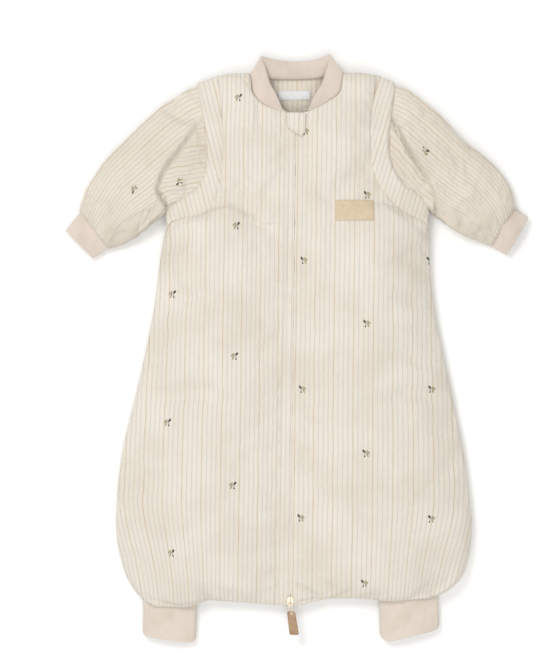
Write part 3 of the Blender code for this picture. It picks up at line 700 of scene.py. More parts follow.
RIB_PITCH = 1.7
LOOKS = {
    "body_left": muslin("striped_muslin_left", SPRIG_ORIGIN[-1], pitch=5.95),
    "body_right": muslin("striped_muslin_right", SPRIG_ORIGIN[1], -1.0, half_drop=0.492),
    "plain": muslin("striped_muslin_plain"),
    # The sleeves' looks are darkened as painted shading, and the lining's look is lightened as painted light
    "sleeve_left": muslin("striped_muslin_sleeve_left", (67.0, 112.0), painted_light_scale=0.96),
    "sleeve_right": muslin("striped_muslin_sleeve_right", (57.0, 55.0), -1.0, painted_light_scale=0.985, half_drop=0.46),
    "lining": muslin("striped_lining", painted_light_scale=1.04),
    "rib": rib_knit("rib_knit", 225, 213, 202),
    # The leg cuffs' rib knit is a lighter copy of the one above: painted light on the leg cuffs
    "rib_leg_painted_light": rib_knit("rib_knit_leg_painted_light", 228, 217, 205),
    "patch": plain_weave("patch_weave", rgb(216, 198, 169), rgb(200, 179, 147), 0.9),
    "label": plain_weave("label_satin", rgb(240, 241, 242), rgb(226, 228, 231), 0.5, 0.6),
    "tape": plain_weave("zip_tape_weave", rgb(236, 225, 205), rgb(220, 206, 182), 0.8),
    "plastic": moulded("zip_plastic", rgb(238, 227, 204), 0.35),
    "enamel": moulded("slider_enamel", rgb(236, 224, 200), 0.3, 0.25),
    "leather": leather("leather_tab", rgb(176, 145, 113), rgb(146, 115, 85)),
    "stud": moulded("stud_resin", rgb(226, 214, 192), 0.3),
    "thread": plain_weave("sewing_thread", rgb(226, 214, 193), rgb(208, 194, 170), 0.4),
    "stitch_dark": plain_weave("stitch_dark", rgb(96, 72, 50), rgb(70, 52, 36), 0.4),
}

# ---------------------------------------------------------------- shared steps

EDGE_STEPS = (0.0, 0.7, 1.8, 3.6, 6.4, 10.5)
TAPE_GAP = 1.2             # from the zip line to the edge of a tape
TAPE_THICKNESS = 0.8
TOOTH_PITCH = 1.5
TAPE_DEPTH = 3.4           # how far a tape lies below the lips


def spaced(length, pitch, start=EDGE_STEPS, end=EDGE_STEPS):
    """Fractions of a length: close together at the seams and even in between."""
    first, last = start[-1], length - end[-1]
    count = max(2, int(round((last - first) / pitch)))
    middle = np.linspace(first, last, count + 1)
    return np.concatenate((start[:-1], middle, [length - e for e in end[-2::-1]])) / length


def plan(curve, z):
    """Plan curve at one height."""
    return np.column_stack((curve[:, :2], np.full(len(curve), float(z))))


def outline(side, face):
    """Seam of one side from the hem corner to the shoulder; face 2 is the front and 3 the back."""
    arm = spline(ARMHOLE[side])
    return joined(plan(spline(SIDE[side]), SEAM_Z), arm[:, (0, 1, face)])


def leg_window(x):
    return np.maximum(window(x, LEG[-1][0] + 6, LEG[-1][1] - 6, 14.0),
                      window(x, LEG[1][0] + 6, LEG[1][1] - 6, 14.0))


def fold_with_lapel(item):
    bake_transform(item)


def settle(item, body=None, replaces=()):
    """Keeps a piece above the floor, hangs it on the body it rides on and hides the CAD nodes it stands for.
    """
    co = coordinates(item)
    co[:, 2] = np.maximum(co[:, 2], 0.0)
    set_coordinates(item, co)
    if body:
        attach(item, body)
    if replaces:
        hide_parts(*replaces)
    return item


def surface_of(*items):
    """Height of the upper surface of items in millimetres at a plan point, or None beside them."""
    trees = []
    for item in items:
        co = coordinates(item) / MM
        faces = [tuple(p.vertices) for p in item.data.polygons]
        trees.append(BVHTree.FromPolygons([Vector(c) for c in co], faces))

    def height(x, y):
        found = [tree.ray_cast(Vector((x, y, 90.0)), Vector((0, 0, -1)))[0] for tree in trees]
        found = [hit.z for hit in found if hit]
        return max(found) if found else None

    return height


# ---------------------------------------------------------------- front halves

def zip_edge(side, y):
    """Lip of a front half, parted a little round the slider at the hem."""
    part = LIP + 0.9 * smooth((HEM_Y + 20.0 - y) / 10.0)
    return np.column_stack((zip_x(y) + side * part, y, zip_z(y)))


def hem_curve(side, s):
    """Hem of a front half from the zip to the side: dips by the zip, tucked in between the legs."""
    start = zip_edge(side, np.array([HEM_Y]))[0]
    x, y = sample(spline(HEM[side]), s).T
    z = mix(17.0, HEM_FRONT, leg_window(x))
    z = mix(start[2] - ZIP_LOFT / 2, z, smooth(s / 0.14))
    z = mix(z, SEAM_Z, smooth((s - 0.93) / 0.07))
    return np.column_stack((x, y, z))


def neck_and_shoulder(side, chin):
    """Upper edge of a front half from the chin to the end of the shoulder."""
    neck = spline(NECK[side][::-1])
    neck[0, :2] = chin[:2]
    neck = with_height(neck, (chin[2], 33.0, 30.0, 27.0, 24.0))
    shoulder = spline([tuple(neck[-1]), *SHOULDER[side], (*ARMHOLE[side][-1][:2], SHOULDER_Z)])
    return joined(neck, shoulder), len(neck)


def puff_field(side, x, y, side_x):
    """Crown of the padding between the fold line and the side."""
    foot, head = FOLD_FOOT[side], FOLD_HEAD[side]
    t = np.clip((y - foot[1]) / (head[1] - foot[1]), 0.0, 1.0)
    fold_x = mix(foot[0], head[0], t)
    width = np.maximum(np.abs(side_x - fold_x), 1.0)
    across = np.clip(side * (x - fold_x) / width, 0.0, 1.0)
    room = np.clip((width - 40.0) / 90.0, 0.0, 1.0)
    return room * np.sin(math.pi * np.minimum(across * 1.1, 1.0))


def body_uv(side, x, y):
    """Flat pattern of a front half: stripes beside the zip that fan out a little and draw in at the legs."""
    across = side * (x - zip_x(y))
    fan = 9.0 * (across / 180.0) ** 2 * (200.0 - y) / 500.0
    draw = 0.15 * smooth((-190.0 - y) / 150.0) * smooth((np.abs(x) - 70.0) / 130.0)
    return np.stack((side * (across - fan) * (1.0 + draw), y), axis=-1)


def body_relief(side, p, side_gap, hem_gap, zip_gap):
    """Low waves of the quilt, ridges over the leg, puckers at the seams, folds at the underarm."""
    x, y = p[..., 0], p[..., 1]
    low = 0.9 * waves(p, 62.0, 1.7 + side, (1.0, 0.55)) + 0.6 * waves(p, 24.0, 5.3 + side, (1.0, 0.45))
    pitch = 8.0 if side > 0 else 7.4
    bend = 5.0 * waves(p, 55.0, 9.1, (1.0, 1.0))
    gather = np.sin(math.tau * (x + bend) / pitch) * leg_window(x) * np.exp(-hem_gap / 15.0) * 1.7
    gather *= 0.65 + 0.6 * waves(p, 17.0, 2.2 * side, (1.0, 0.1))
    pucker = np.sin(math.tau * (y + bend) / 13.0) * np.exp(-side_gap / 11.0) * 0.9
    hem_pucker = np.sin(math.tau * (x + bend) / 11.0) * np.exp(-hem_gap / 9.0) * 0.5
    lips = np.sin(math.tau * (y + 2 * bend) / 26.0) * np.exp(-zip_gap / 8.0) * 0.35
    depth, place = (1.1, mix(8.5, 15.5, smooth((150.0 - y) / 400.0))) if side < 0 else (0.6, 13.0)
    ditch = -depth * np.exp(-((zip_gap - place) / 3.4) ** 2) * (0.85 + 0.2 * waves(p, 60.0, 3.1, (0.3, 1.0)))
    relief = low * smooth(zip_gap / 26.0) + gather + pucker + hem_pucker + lips + ditch
    for path, reach, height in BODY_FOLDS[side]:
        relief += crease(p, path, reach, height, 2.0)
    return relief


# soft folds in each front half: path, how far they reach and their height
BODY_FOLDS = {
    -1: [([(-111.5, 204.6), (-95, 207), (-80, 208.6)], 7.0, 0.5),
         ([(-176, 150), (-150, 128), (-112, 118)], 15.0, 2.2),
         ([(-173, 130), (-158, 96), (-146, 62)], 14.0, 1.6),
         ([(-190, -150), (-150, -215), (-128, -290)], 24.0, 1.6),
         ([(-92, -200), (-84, -262), (-90, -320)], 22.0, 0.9)],
    1: [([(110, 116), (150, 130), (176, 150)], 15.0, 2.2),
        ([(140, 60), (158, 96), (174, 128)], 14.0, 1.6),
        ([(120, 196), (104, 190), (84, 188)], 8.0, 1.0),
        ([(122, -290), (146, -215), (186, -150)], 24.0, 1.6),
        ([(84, -318), (76, -262), (84, -200)], 22.0, 1.3),
        ([(-3, -311), (10, -314), (20, -318), (33, -326)], 9.0, 2.4),
        ([(0, -326), (16, -329), (34, -331)], 5.0, 1.4)]}


# sharp fold lines pressed into a front half: path, depth and half width
BODY_GROOVES = {
    -1: [([(-112, 203.5), (-95, 206.5), (-78, 208.6)], 0.5, 1.2),
         ([(-10, 235), (-11.5, 110), (-15.5, 0), (-19, -90), (-20.5, -190), (-18, -300)], 1.1, 1.3),
         ([(-124, -352), (-120, -336), (-113, -322)], 3.0, 2.0),
         ([(-196, -346), (-192, -332), (-190, -322)], 1.6, 1.6)],
    1: [([(-3, -311), (12, -318), (31, -329)], 4.5, 2.4),
        ([(1, -336), (14, -333), (31, -330)], 2.5, 1.8),
        ([(105, -348), (106, -334), (110, -322)], 2.2, 1.8),
        ([(188, -340), (180, -325), (176, -314)], 1.6, 1.6)]}


def front_half(side, word):
    """One padded half of the front, from the side seam to the lip that hides the zip."""
    outer = outline(side, 2)
    rows = spaced(lengths(outer)[-1], 6.2)
    right = sample(outer, rows)
    over = np.maximum(right[:, 1] - UNDERARM_Y, 0.0)
    y = np.minimum(right[:, 1], UNDERARM_Y) + over * (CHIN_Y - UNDERARM_Y) / (SHOULDER_Y - UNDERARM_Y)
    y = HEM_Y + (np.maximum.accumulate(y) - y[0]) * (CHIN_Y - HEM_Y) / (y.max() - y[0])
    left = zip_edge(side, y)
    left[:, 2] -= ZIP_LOFT / 2
    columns = spaced(190.0, 6.0, (0.0, 0.35, 0.9, 1.8, 3.6, 6.0, 8.6, 11.4, 14.6, 17.6, 21.0))
    low = hem_curve(side, columns)
    top_edge, neck_points = neck_and_shoulder(side, left[-1])
    high = sample(top_edge, columns)
    low[0], low[-1] = left[0], right[0]
    high[0], high[-1] = left[-1], right[-1]
    grid = coons(left, right, low, high, columns, rows)
    x, y, edge = grid[..., 0], grid[..., 1], grid[..., 2]

    side_gap = distance_to(grid, spline(SIDE[side]))
    arm_gap = distance_to(grid, spline(ARMHOLE[side])[:, :2])
    hem_gap = distance_to(grid, low)
    neck_gap = distance_to(grid, top_edge[:neck_points])
    shoulder_gap = distance_to(grid, top_edge[neck_points - 1:])
    zip_gap = distance_to(grid, left)
    full = quarter(side_gap, 60.0) * quarter(arm_gap, 16.0)
    full = full * quarter(hem_gap, 30.0) * quarter(shoulder_gap, 22.0)
    side_x = right[:, None, 0]
    crest = zip_z(y) + 1.5 * (1.0 - np.exp(-zip_gap / 10.0)) + PUFF * puff_field(side, x, y, side_x)
    crest -= 2.0 * np.exp(-neck_gap / 12.0)
    height = edge + (crest - edge) * full
    loft = mix(ZIP_LOFT, FRONT_LOFT, smooth((zip_gap - 12.5) / 16.0))
    seam = np.minimum(np.minimum(side_gap, arm_gap), np.minimum(hem_gap, shoulder_gap))
    loft = np.minimum(loft, mix(SEAM_LOFT, FRONT_LOFT, smooth(seam / 30.0)))
    loft = np.minimum(loft, mix(4.6, FRONT_LOFT, smooth(neck_gap / 18.0)))
    loft = loft * quarter(seam, 5.0)
    lip = (1.0 - quarter(zip_gap, 1.3) * quarter(neck_gap, 2.4)) * loft / 2
    relief = body_relief(side, grid, side_gap, hem_gap, zip_gap)
    relief *= smooth(seam / 4.0 + 0.12) * smooth(neck_gap / 5.0) * smooth(zip_gap / 2.5)
    relief[0] = relief[-1] = 0.0
    relief[:, 0] = relief[:, -1] = 0.0
    top = np.stack((x, y, height - lip + relief), axis=-1)
    bottom = np.stack((x, y, height - loft + lip), axis=-1)
    rim = rim_of(edge)
    middle = (top[..., 2] + bottom[..., 2]) / 2
    top[rim, 2] = middle[rim]

    looks = (LOOKS[f"body_{word}"], LOOKS["lining"])
    item, upper, lower = pillow(f"front_half_{word}", top, bottom, body_uv(side, x, y), looks)
    outward(item)
    held = rim | (zip_gap < 19.0) | (neck_gap < 5.0) | (seam < 3.0)
    pinned = np.concatenate((upper[held], lower[held & ~rim]))
    puff_up(item, np.unique(pinned), 2.4, 0.03, 4.5)
    refine(item, 0.42, 7.5, 3.0 + side)
    for path, depth, width in BODY_GROOVES[side]:
        groove(item, path, depth, width)
    layers = ("outer", "wadding", "lining")
    names = [f"{panel}_{word}_{layer}" for panel in ("front", "lapel") for layer in layers]
    settle(item, replaces=names)
    fold_with_lapel(item)
    return item


# ---------------------------------------------------------------- back

def back_panel():
    """Padded back: rests on the ground, curls up to the side seams and shows its lining in the neck."""
    left, right = outline(-1, 3), outline(1, 3)
    rows = spaced(lengths(left)[-1], 8.0)
    columns = spaced(400.0, 8.0)
    left, right = sample(left, rows), sample(right, rows)
    x = mix(left[0, 0], right[0, 0], columns)
    leg = leg_window(x)
    low = np.column_stack((x, mix(left[0, 1], right[0, 1], columns) - 3.0 * leg, mix(15.2, 2.4, leg)))
    first, last = (*NECK[-1][0], 24.0), (*NECK[1][0], 24.0)
    shoulders = [spline([(*ARMHOLE[-1][-1][:2], SHOULDER_Z), *SHOULDER[-1], first]),
                 spline([last, *SHOULDER[1], (*ARMHOLE[1][-1][:2], SHOULDER_Z)])]
    neck = spline([first, (-44, 362, 15), (-26, 361, 10), (-5, 361, 9), (18, 361.5, 10), (38, 363, 15), last])
    high = sample(joined(shoulders[0], neck, shoulders[1]), columns)
    low[0], low[-1], high[0], high[-1] = left[0], right[0], left[-1], right[-1]
    grid = coons(left, right, low, high, columns, rows)
    edge = grid[..., 2]
    side_gap = np.minimum(*(distance_to(grid, spline(SIDE[side])) for side in (-1, 1)))
    arm_gap = np.minimum(*(distance_to(grid, spline(ARMHOLE[side])[:, :2]) for side in (-1, 1)))
    hem_gap, neck_gap = distance_to(grid, low), distance_to(grid, high)
    flat = quarter(side_gap, 36.0) * quarter(arm_gap, 20.0) * quarter(hem_gap, 26.0) * quarter(neck_gap, 26.0)
    seam = np.minimum(np.minimum(side_gap, arm_gap), np.minimum(hem_gap, neck_gap))
    loft = mix(SEAM_LOFT, BACK_LOFT, smooth(seam / 24.0)) * quarter(seam, 4.0)
    base = edge * (1.0 - flat)
    relief = 0.8 * waves(grid, 46.0, 12.0, (1.0, 0.5)) * smooth(seam / 14.0)
    in_neck = np.exp(-(np.hypot(grid[..., 0], (grid[..., 1] - 338.0) * 1.2) / 38.0) ** 4)
    loft = loft + 3.5 * in_neck * smooth(neck_gap / 8.0)
    top = np.stack((grid[..., 0], grid[..., 1], base + loft + relief), axis=-1)
    bottom = np.stack((grid[..., 0], grid[..., 1], np.maximum(base, 0.0)), axis=-1)
    rim = rim_of(edge)
    top[rim, 2] = edge[rim]
    uv = np.stack((grid[..., 0] + 2.0, grid[..., 1]), axis=-1)
    item, _, _ = pillow("back_panel", top, bottom, uv, (LOOKS["lining"], LOOKS["plain"]))
    outward(item)
    refine(item, 0.3, 8.0, 8.0)
    return settle(item, "bag", ("back_outer", "back_wadding", "back_lining"))


# ---------------------------------------------------------------- flattened tubes: bands, sleeves and cuffs

def flat_tube(name, shape, centre, half, wall, uv, looks, relief=0.0, flatness=0.7):
    """Tube lying flat: shape[i, j] is its plan, i along the axis and j from one edge to the other."""
    count = shape.shape[1]
    v = np.linspace(-1.0, 1.0, count)
    centre, half = (np.broadcast_to(a, shape.shape[:2]) for a in (centre, half))
    middle = (shape[:, :1] + shape[:, -1:]) / 2
    reach = np.linalg.norm(shape[:, -1:] - shape[:, :1], axis=-1, keepdims=True) / 2
    bow = 1.0 - np.abs(np.sin(v * math.pi / 2)) ** 2
    rise = np.sqrt(np.maximum(bow, 0.0)) ** flatness
    rings = []
    for inset, bumps in ((0.0, relief), (wall, 0.3 * relief)):
        flat = middle + (shape - middle) * (1.0 - inset / reach)
        up = centre + (half - inset) * rise + bumps * rise
        down = centre - (half - inset) * rise
        over = np.dstack((flat, up))
        under = np.dstack((flat, down))[:, -2:0:-1]
        rings.append(np.concatenate((over, under), axis=1))
    around = np.concatenate((uv, uv[:, -2:0:-1]), axis=1)
    item, outer_index, inner_index = tube(name, rings[0], rings[1], around, looks)
    return outward(item), outer_index, inner_index


def edge_fractions(count):
    """Fractions across a flattened tube, close together at both folded edges."""
    return 0.5 + 0.5 * np.sin(np.linspace(-1.0, 1.0, count) * math.pi / 2)


def armhole_band(side, word):
    """Padded strip that frames the armhole and stands a little proud of the sleeve."""
    across = edge_fractions(74)
    inner = sample(offset_path(spline(ARMHOLE[side]), side * 2.0), across)
    outer = sample(spline(BAND_EDGE[side]), across)
    width = BAND_WIDTH
    steps = spaced(width, 3.0, (0.0, 0.6, 1.5, 3.0, 5.0), (0.0, 0.6, 1.5, 3.0, 5.0))
    shape = mix(inner[None], outer[None], steps[:, None, None])
    gap = np.minimum(steps, 1.0 - steps)[:, None] * width
    half = 17.6 - 3.4 * (1.0 - quarter(gap, 5.5)) + 0.4 * np.sin(steps * math.pi)[:, None]
    x, y = shape[..., 0], shape[..., 1]
    p = np.dstack((x, y))
    slant = 0.25 if side < 0 else -0.3
    uv = np.stack((x + slant * y, y - slant * x), axis=-1)
    along = lengths(spline(BAND_EDGE[side]))[-1] * across[None]
    bend = 6.0 * waves(p, 30.0, 4.0 * side)
    relief = 0.9 * waves(p, 17.0, 6.6 * side, (1.0, 0.6))
    relief = relief + 0.8 * np.sin(math.tau * (along + bend) / 12.0) * np.exp(-gap / 4.5)
    looks = (LOOKS["plain"], LOOKS["lining"])
    item, _, _ = flat_tube(f"armhole_strip_{word}", shape, 17.6, half, 6.0, uv, looks, relief)
    refine(item, 0.3, 7.0, 6.0 + side)
    return settle(item, "bag", (f"armhole_band_{word}",))


# the cloth below this line is pushed up towards the armhole, so its stripes run across: band to underarm
BUNCH = {-1: [(-112, 322), (-126, 303), (-157, 260), (-179, 226), (-184, 206), (-174, 190), (-170, 150)],
         1: [(112, 326), (124, 306), (150, 263), (166, 233), (180, 209), (184, 176), (184, 150)]}
# direction across the stripes in the pushed-up cloth, and where they start
BUNCH_STRIPES = {-1: (0.16, -1.05, 406.0), 1: (0.72, 0.62, -130.0)}
SLEEVE_FOLDS = {
    -1: [([(-171, 172), (-174, 190), (-184, 206), (-179, 226), (-157, 260), (-126, 303)], 22.0, 5.6),
         ([(-160, 206), (-146, 222), (-136, 246)], 8.0, 2.2),
         ([(-166, 232), (-150, 236), (-130, 232)], 7.0, 1.6),
         ([(-152, 252), (-140, 256), (-124, 252)], 6.0, 1.4),
         ([(-204, 158), (-190, 182), (-186, 206)], 10.0, 2.2),
         ([(-248, 150), (-216, 176), (-188, 186)], 12.0, 2.0),
         ([(-268, 196), (-236, 214), (-206, 226)], 13.0, 1.6),
         ([(-222, 262), (-190, 268), (-160, 290)], 16.0, 1.8)],
    1: [([(124, 306), (150, 263), (166, 233), (180, 209), (183, 172)], 24.0, 6.6),
        ([(128, 280), (142, 256), (156, 228)], 7.0, 2.0),
        ([(132, 246), (148, 226), (168, 208)], 7.0, 2.2),
        ([(190, 214), (198, 190), (212, 162)], 12.0, 2.2),
        ([(190, 190), (222, 178), (252, 152)], 12.0, 2.0),
        ([(206, 232), (238, 218), (270, 200)], 13.0, 1.6),
        ([(160, 306), (196, 276), (226, 256)], 16.0, 1.8)]}


# sharp fold lines pressed into the sleeve: path, depth and half width
SLEEVE_GROOVES = {
    -1: [([(-126, 301), (-157, 258), (-178, 226), (-183, 207), (-176, 196)], 3.0, 1.9),
         ([(-130, 297), (-144, 289), (-157, 291)], 1.2, 1.6),
         ([(-122, 273), (-137, 259), (-157, 246), (-171, 244)], 1.5, 1.6),
         ([(-167, 273), (-190, 259), (-202, 236), (-198, 220)], 1.4, 3.2),
         ([(-180, 210), (-197, 190), (-207, 164), (-213, 141)], 1.3, 2.3),
         ([(-174, 184), (-187, 170), (-203, 150)], 1.3, 1.9),
         ([(-186, 232), (-205, 205), (-224, 172)], 0.9, 3.0),
         ([(-184, 212), (-176, 200), (-171, 186), (-168, 172)], 6.0, 1.9),
         ([(-166, 236), (-150, 240), (-128, 236)], 1.4, 1.5),
         ([(-152, 256), (-140, 259), (-122, 255)], 1.4, 1.5),
         ([(-206, 158), (-193, 182), (-188, 206)], 1.8, 1.8),
         ([(-232, 196), (-206, 226), (-178, 262)], 1.1, 2.0),
         ([(-176, 208), (-164, 206), (-150, 209)], 2.0, 1.5)],
    1: [([(125, 308), (146, 266), (166, 234), (180, 214)], 7.5, 2.0),
        ([(178, 214), (183, 198), (184, 184), (182, 170)], 6.0, 1.9),
        ([(128, 262), (142, 240), (160, 222)], 1.6, 1.6),
        ([(136, 236), (150, 224), (170, 214)], 1.8, 1.6),
        ([(194, 214), (200, 190), (213, 162)], 1.8, 1.8),
        ([(150, 300), (178, 262), (198, 236)], 1.0, 2.0)]}


def sleeve(side, word):
    """Padded sleeve from under the armhole strip to its gathers at the cuff."""
    across = edge_fractions(66)
    rows = spaced(SLEEVE_LENGTH, 3.6, (0.0, 0.8, 2.2, 4.4))
    centre_of_chest = np.array((0.0, 270.0))
    root = sample(spline(BAND_EDGE[side]), across)
    toward = centre_of_chest - root
    root = root + 5.0 * toward / np.linalg.norm(toward, axis=1, keepdims=True)
    near = np.array(CUFF_NEAR[side], float)
    end = mix(near[0][None], near[1][None], across[:, None])
    lower = sample(spline(SLEEVE_LOWER[side]), rows)
    upper = sample(spline(SLEEVE_UPPER[side]), rows)
    lower = lower + (root[0] - lower[0]) * (1.0 - smooth(rows / 0.12))[:, None]
    lower = lower + (end[0] - lower[-1]) * smooth((rows - 0.9) / 0.1)[:, None]
    upper = upper + (root[-1] - upper[0]) * (1.0 - smooth(rows / 0.12))[:, None]
    upper = upper + (end[-1] - upper[-1]) * smooth((rows - 0.9) / 0.1)[:, None]
    shape = coons(lower, upper, root, end, across, rows)
    along = rows[:, None] * SLEEVE_LENGTH
    cuff_gap = SLEEVE_LENGTH - along
    half = mix(14.6, 11.0, rows ** 1.2)[:, None] + 1.6 * np.sin(math.pi * rows)[:, None]
    half = half - 3.0 * (1.0 - quarter(cuff_gap, 9.0))
    width = np.interp(rows, (0.0, 0.33, 0.66, 1.0), (200.0, 165.0, 150.0, 95.0))[:, None]
    u = (1.0 - across[None]) * width
    bunched = below(shape, BUNCH[side], 0.9)
    across_x, across_y, shift = BUNCH_STRIPES[side]
    plane = shift + across_x * shape[..., 0] + across_y * shape[..., 1] + 2.4 * waves(shape, 17.0, 5.0 + side)
    uv = np.stack((mix(u, plane, bunched), along - 23.0 * bunched), axis=-1)
    ridge = np.sin(math.tau * (u + 4.0 * waves(shape, 26.0, 3.3 * side)) / 8.2)
    relief = 1.7 * ridge * np.exp(-cuff_gap / 17.0)
    calm = smooth((1.0 - across[None]) / 0.16)
    relief = relief + calm * (2.0 * waves(shape, 30.0, 8.8 * side) + 1.5 * waves(shape, 13.0, 2.8 * side))
    relief = relief + 1.2 * bunched * waves(shape, 9.0, 4.4 * side, (0.6, 1.0))
    for path, reach, height in SLEEVE_FOLDS[side]:
        relief = relief + crease(shape, path, reach, height, 1.9)
    relief = relief * smooth(cuff_gap / 3.0)
    looks = (LOOKS[f"sleeve_{word}"], LOOKS["lining"])
    item, outer_index, inner_index = flat_tube(f"sleeve_{word}", shape, half + 0.6, half, 5.0, uv, looks,
                                               relief, 0.62)
    held = np.concatenate((outer_index[:4].ravel(), outer_index[-2:].ravel(), inner_index.ravel()))
    puff_up(item, held, 1.6, 0.03, 3.0)
    refine(item, 0.5, 6.0, 9.0 + side)
    for path, depth, width in SLEEVE_GROOVES[side]:
        groove(item, path, depth, width)
    nodes = [f"sleeve_{word}_{layer}" for layer in ("outer", "wadding", "lining")] + [f"sleeve_head_{word}"]
    settle(item, replaces=nodes)
    low, high = (np.array(c) for c in SLEEVE_CHORD[side])
    along = (high - low) / np.linalg.norm(high - low)
    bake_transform(item)
    return item


def ribbed_tube(name, near, far, half_near, half_far, look, wall=2.4, bow=(0.0, 0.0), relief=None):
    """Flat cuff of rib knit between two edges; the ribs run from one edge to the other."""
    near, far = np.array(near, float), np.array(far, float)
    width = np.linalg.norm(near[-1] - near[0])
    length = np.linalg.norm(far.mean(0) - near.mean(0))
    ribs = round(width / RIB_PITCH)
    across = np.linspace(0.0, 1.0, ribs * 5 + 1)
    edges = edge_fractions(len(across))
    across = mix(across, edges, smooth(np.abs(across - 0.5) * 4.0 - 1.4))
    rows = spaced(length, 3.2, (0.0, 0.4, 1.1, 2.2), (0.0, 0.4, 1.1, 2.2))
    first, last = sample(spline(near), across), sample(spline(far), across)
    shape = mix(first[None], last[None], rows[:, None, None])
    middle = (shape[:, :1] + shape[:, -1:]) / 2
    pinch = 1.0 - (bow[0] * np.sin(math.pi * rows) + bow[1] * rows)[:, None, None]
    shape = middle + (shape - middle) * pinch
    half = mix(half_near, half_far, rows)[:, None]
    gap = np.minimum(rows, 1.0 - rows)[:, None] * length
    half = half - 1.1 * (1.0 - quarter(gap, 1.6))
    u = np.broadcast_to(across[None] * ribs * RIB_PITCH, shape.shape[:2])
    v = np.broadcast_to(rows[:, None] * length, shape.shape[:2])
    bumps = 0.26 * np.sin(math.tau * u / RIB_PITCH) * smooth(gap / 2.0)
    bumps = bumps + 0.5 * waves(shape, 21.0, 3.7, (1.0, 0.6))
    if relief is not None:
        bumps = bumps + relief(shape)
    base = mix(half_near, half_far, rows)[:, None] + 0.4
    uv = np.stack((u, v), axis=-1)
    item, _, _ = flat_tube(name, shape, base, half, wall, uv, (look, look), bumps, 0.62)
    return item


def cuffs():
    for side, word in SIDES:
        near, far = CUFF_NEAR[side], CUFF_FAR[side]
        apart = np.array(near[0]) - np.array(far[0])
        inward = 6.0 * apart / np.linalg.norm(apart)
        start = [np.array(p) + inward for p in near]

        def diagonal(shape, side=side):
            if side < 0:
                return crease(shape, [(-300, 176), (-288, 158), (-276, 138)], 9.0, 0.9, 1.6)
            return crease(shape, [(276, 132), (290, 148), (303, 172)], 10.0, 1.5, 1.6)

        item = ribbed_tube(f"sleeve_rib_{word}", start, far, 9.4, 8.6, LOOKS["rib"], relief=diagonal)
        settle(item, f"sleeve_{word}", (f"sleeve_cuff_{word}",))
        (left, right), foot = LEG_CUFF[side]

        def soft_fold(shape, side=side):
            if side < 0:
                return crease(shape, [(-196, -388), (-190, -362), (-196, -338)], 12.0, 0.8, 2.0)
            return crease(shape, [(176, -372), (170, -352), (178, -336)], 12.0, 0.8, 2.0)

        top = [(left, LEG_TOP), (right, LEG_TOP)]
        item = ribbed_tube(f"leg_rib_{word}", top, foot, 10.6, 8.0, LOOKS["rib_leg_painted_light"],
                           bow=(0.01, 0.0), relief=soft_fold)
        settle(item, "bag", (f"leg_cuff_{word}",))


# ---------------------------------------------------------------- collar

def rib_strip(name, seam, free, look, thickness=4.4, tuck=2.6, seed=2.0):
    """Folded strip of rib knit between its seam and its free edge, both with heights of their middle."""
    length = (lengths(seam)[-1] + lengths(free)[-1]) / 2
    ribs = round(length / RIB_PITCH)
    across = spaced(length, RIB_PITCH / 5, (0.0, 0.3), (0.0, 0.3))
    seam, free = sample(seam, across), sample(free, across)
    way = (free - seam) / np.linalg.norm((free - seam)[:, :2], axis=1, keepdims=True)
    seam = seam - tuck * way
    width = float(np.mean(np.linalg.norm((free - seam)[:, :2], axis=1)))
    rows = spaced(width, 2.4, (0.0, 0.5, 1.4), (0.0, 0.35, 1.0, 2.0))
    grid = mix(seam[None], free[None], rows[:, None, None])
    gap_free = (1.0 - rows)[:, None] * width
    gap_seam = rows[:, None] * width
    crown = 0.8 * np.sin(math.pi * rows)[:, None]
    half = thickness / 2 * quarter(gap_free, 2.6) * quarter(gap_seam, 3.0)
    u = np.broadcast_to(across[None] * ribs * RIB_PITCH, half.shape[:1] + (len(across),))
    ribbing = 0.24 * np.sin(math.tau * u / RIB_PITCH) * smooth(gap_free / 2.4)
    soft = 0.45 * waves(grid, 18.0, seed)
    ends = smooth(np.minimum(across, 1.0 - across) * length / 1.2)[None]
    top = grid.copy()
    top[..., 2] += (half + crown + ribbing + soft) * ends
    bottom = grid.copy()
    bottom[..., 2] -= half * ends
    for face in (top, bottom):
        for edge in (np.s_[0], np.s_[-1], np.s_[:, 0], np.s_[:, -1]):
            face[edge] = grid[edge]
    v = np.broadcast_to(rows[:, None] * width, u.shape)
    item, _, _ = pillow(name, top, bottom, np.stack((u, v), axis=-1), (look, look))
    return outward(item)


def collar():
    back_seam = with_height(spline(COLLAR_BACK_SEAM), (25.0, 17.0, 13.0, 12.0, 13.0, 17.0, 25.0))
    back_free = with_height(spline(COLLAR_BACK_FREE), (27.0, 20.0, 16.0, 15.0, 16.0, 20.0, 27.0))
    item = rib_strip("collar_rib_back", back_seam, back_free, LOOKS["rib"])
    settle(item, "bag", ("collar_back",))
    for side, word in SIDES:
        seam = with_height(spline(COLLAR_SEAM[side]), (25.0, 27.5, 29.5, 31.5, 32.5))
        free = with_height(spline(COLLAR_FREE[side]), (27.0, 29.0, 30.5, 32.0, 33.0))
        item = rib_strip(f"collar_rib_{word}", seam, free, LOOKS["rib"], seed=4.0 + side)
        settle(item, replaces=(f"collar_{word}",))
        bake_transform(item)


# ---------------------------------------------------------------- trims

def slab(name, grid, thickness, look, round_edge=0.6):
    """Thin piece of cloth or leather that follows a grid of points on its lower face."""
    rows, columns = grid.shape[:2]
    place_row = np.minimum(np.arange(rows), np.arange(rows)[::-1])[:, None]
    place_column = np.minimum(np.arange(columns), np.arange(columns)[::-1])[None]
    inside = np.minimum(place_row, place_column)
    swell = np.where(inside == 0, 0.5, np.where(inside == 1, 0.5 + 0.5 * round_edge, 1.0))
    top, bottom = grid.copy(), grid.copy()
    top[..., 2] += thickness * swell
    bottom[..., 2] += thickness * (1.0 - swell)
    uv = grid[..., :2]
    item, _, _ = pillow(name, top, bottom, uv, (look, look))
    return outward(item)


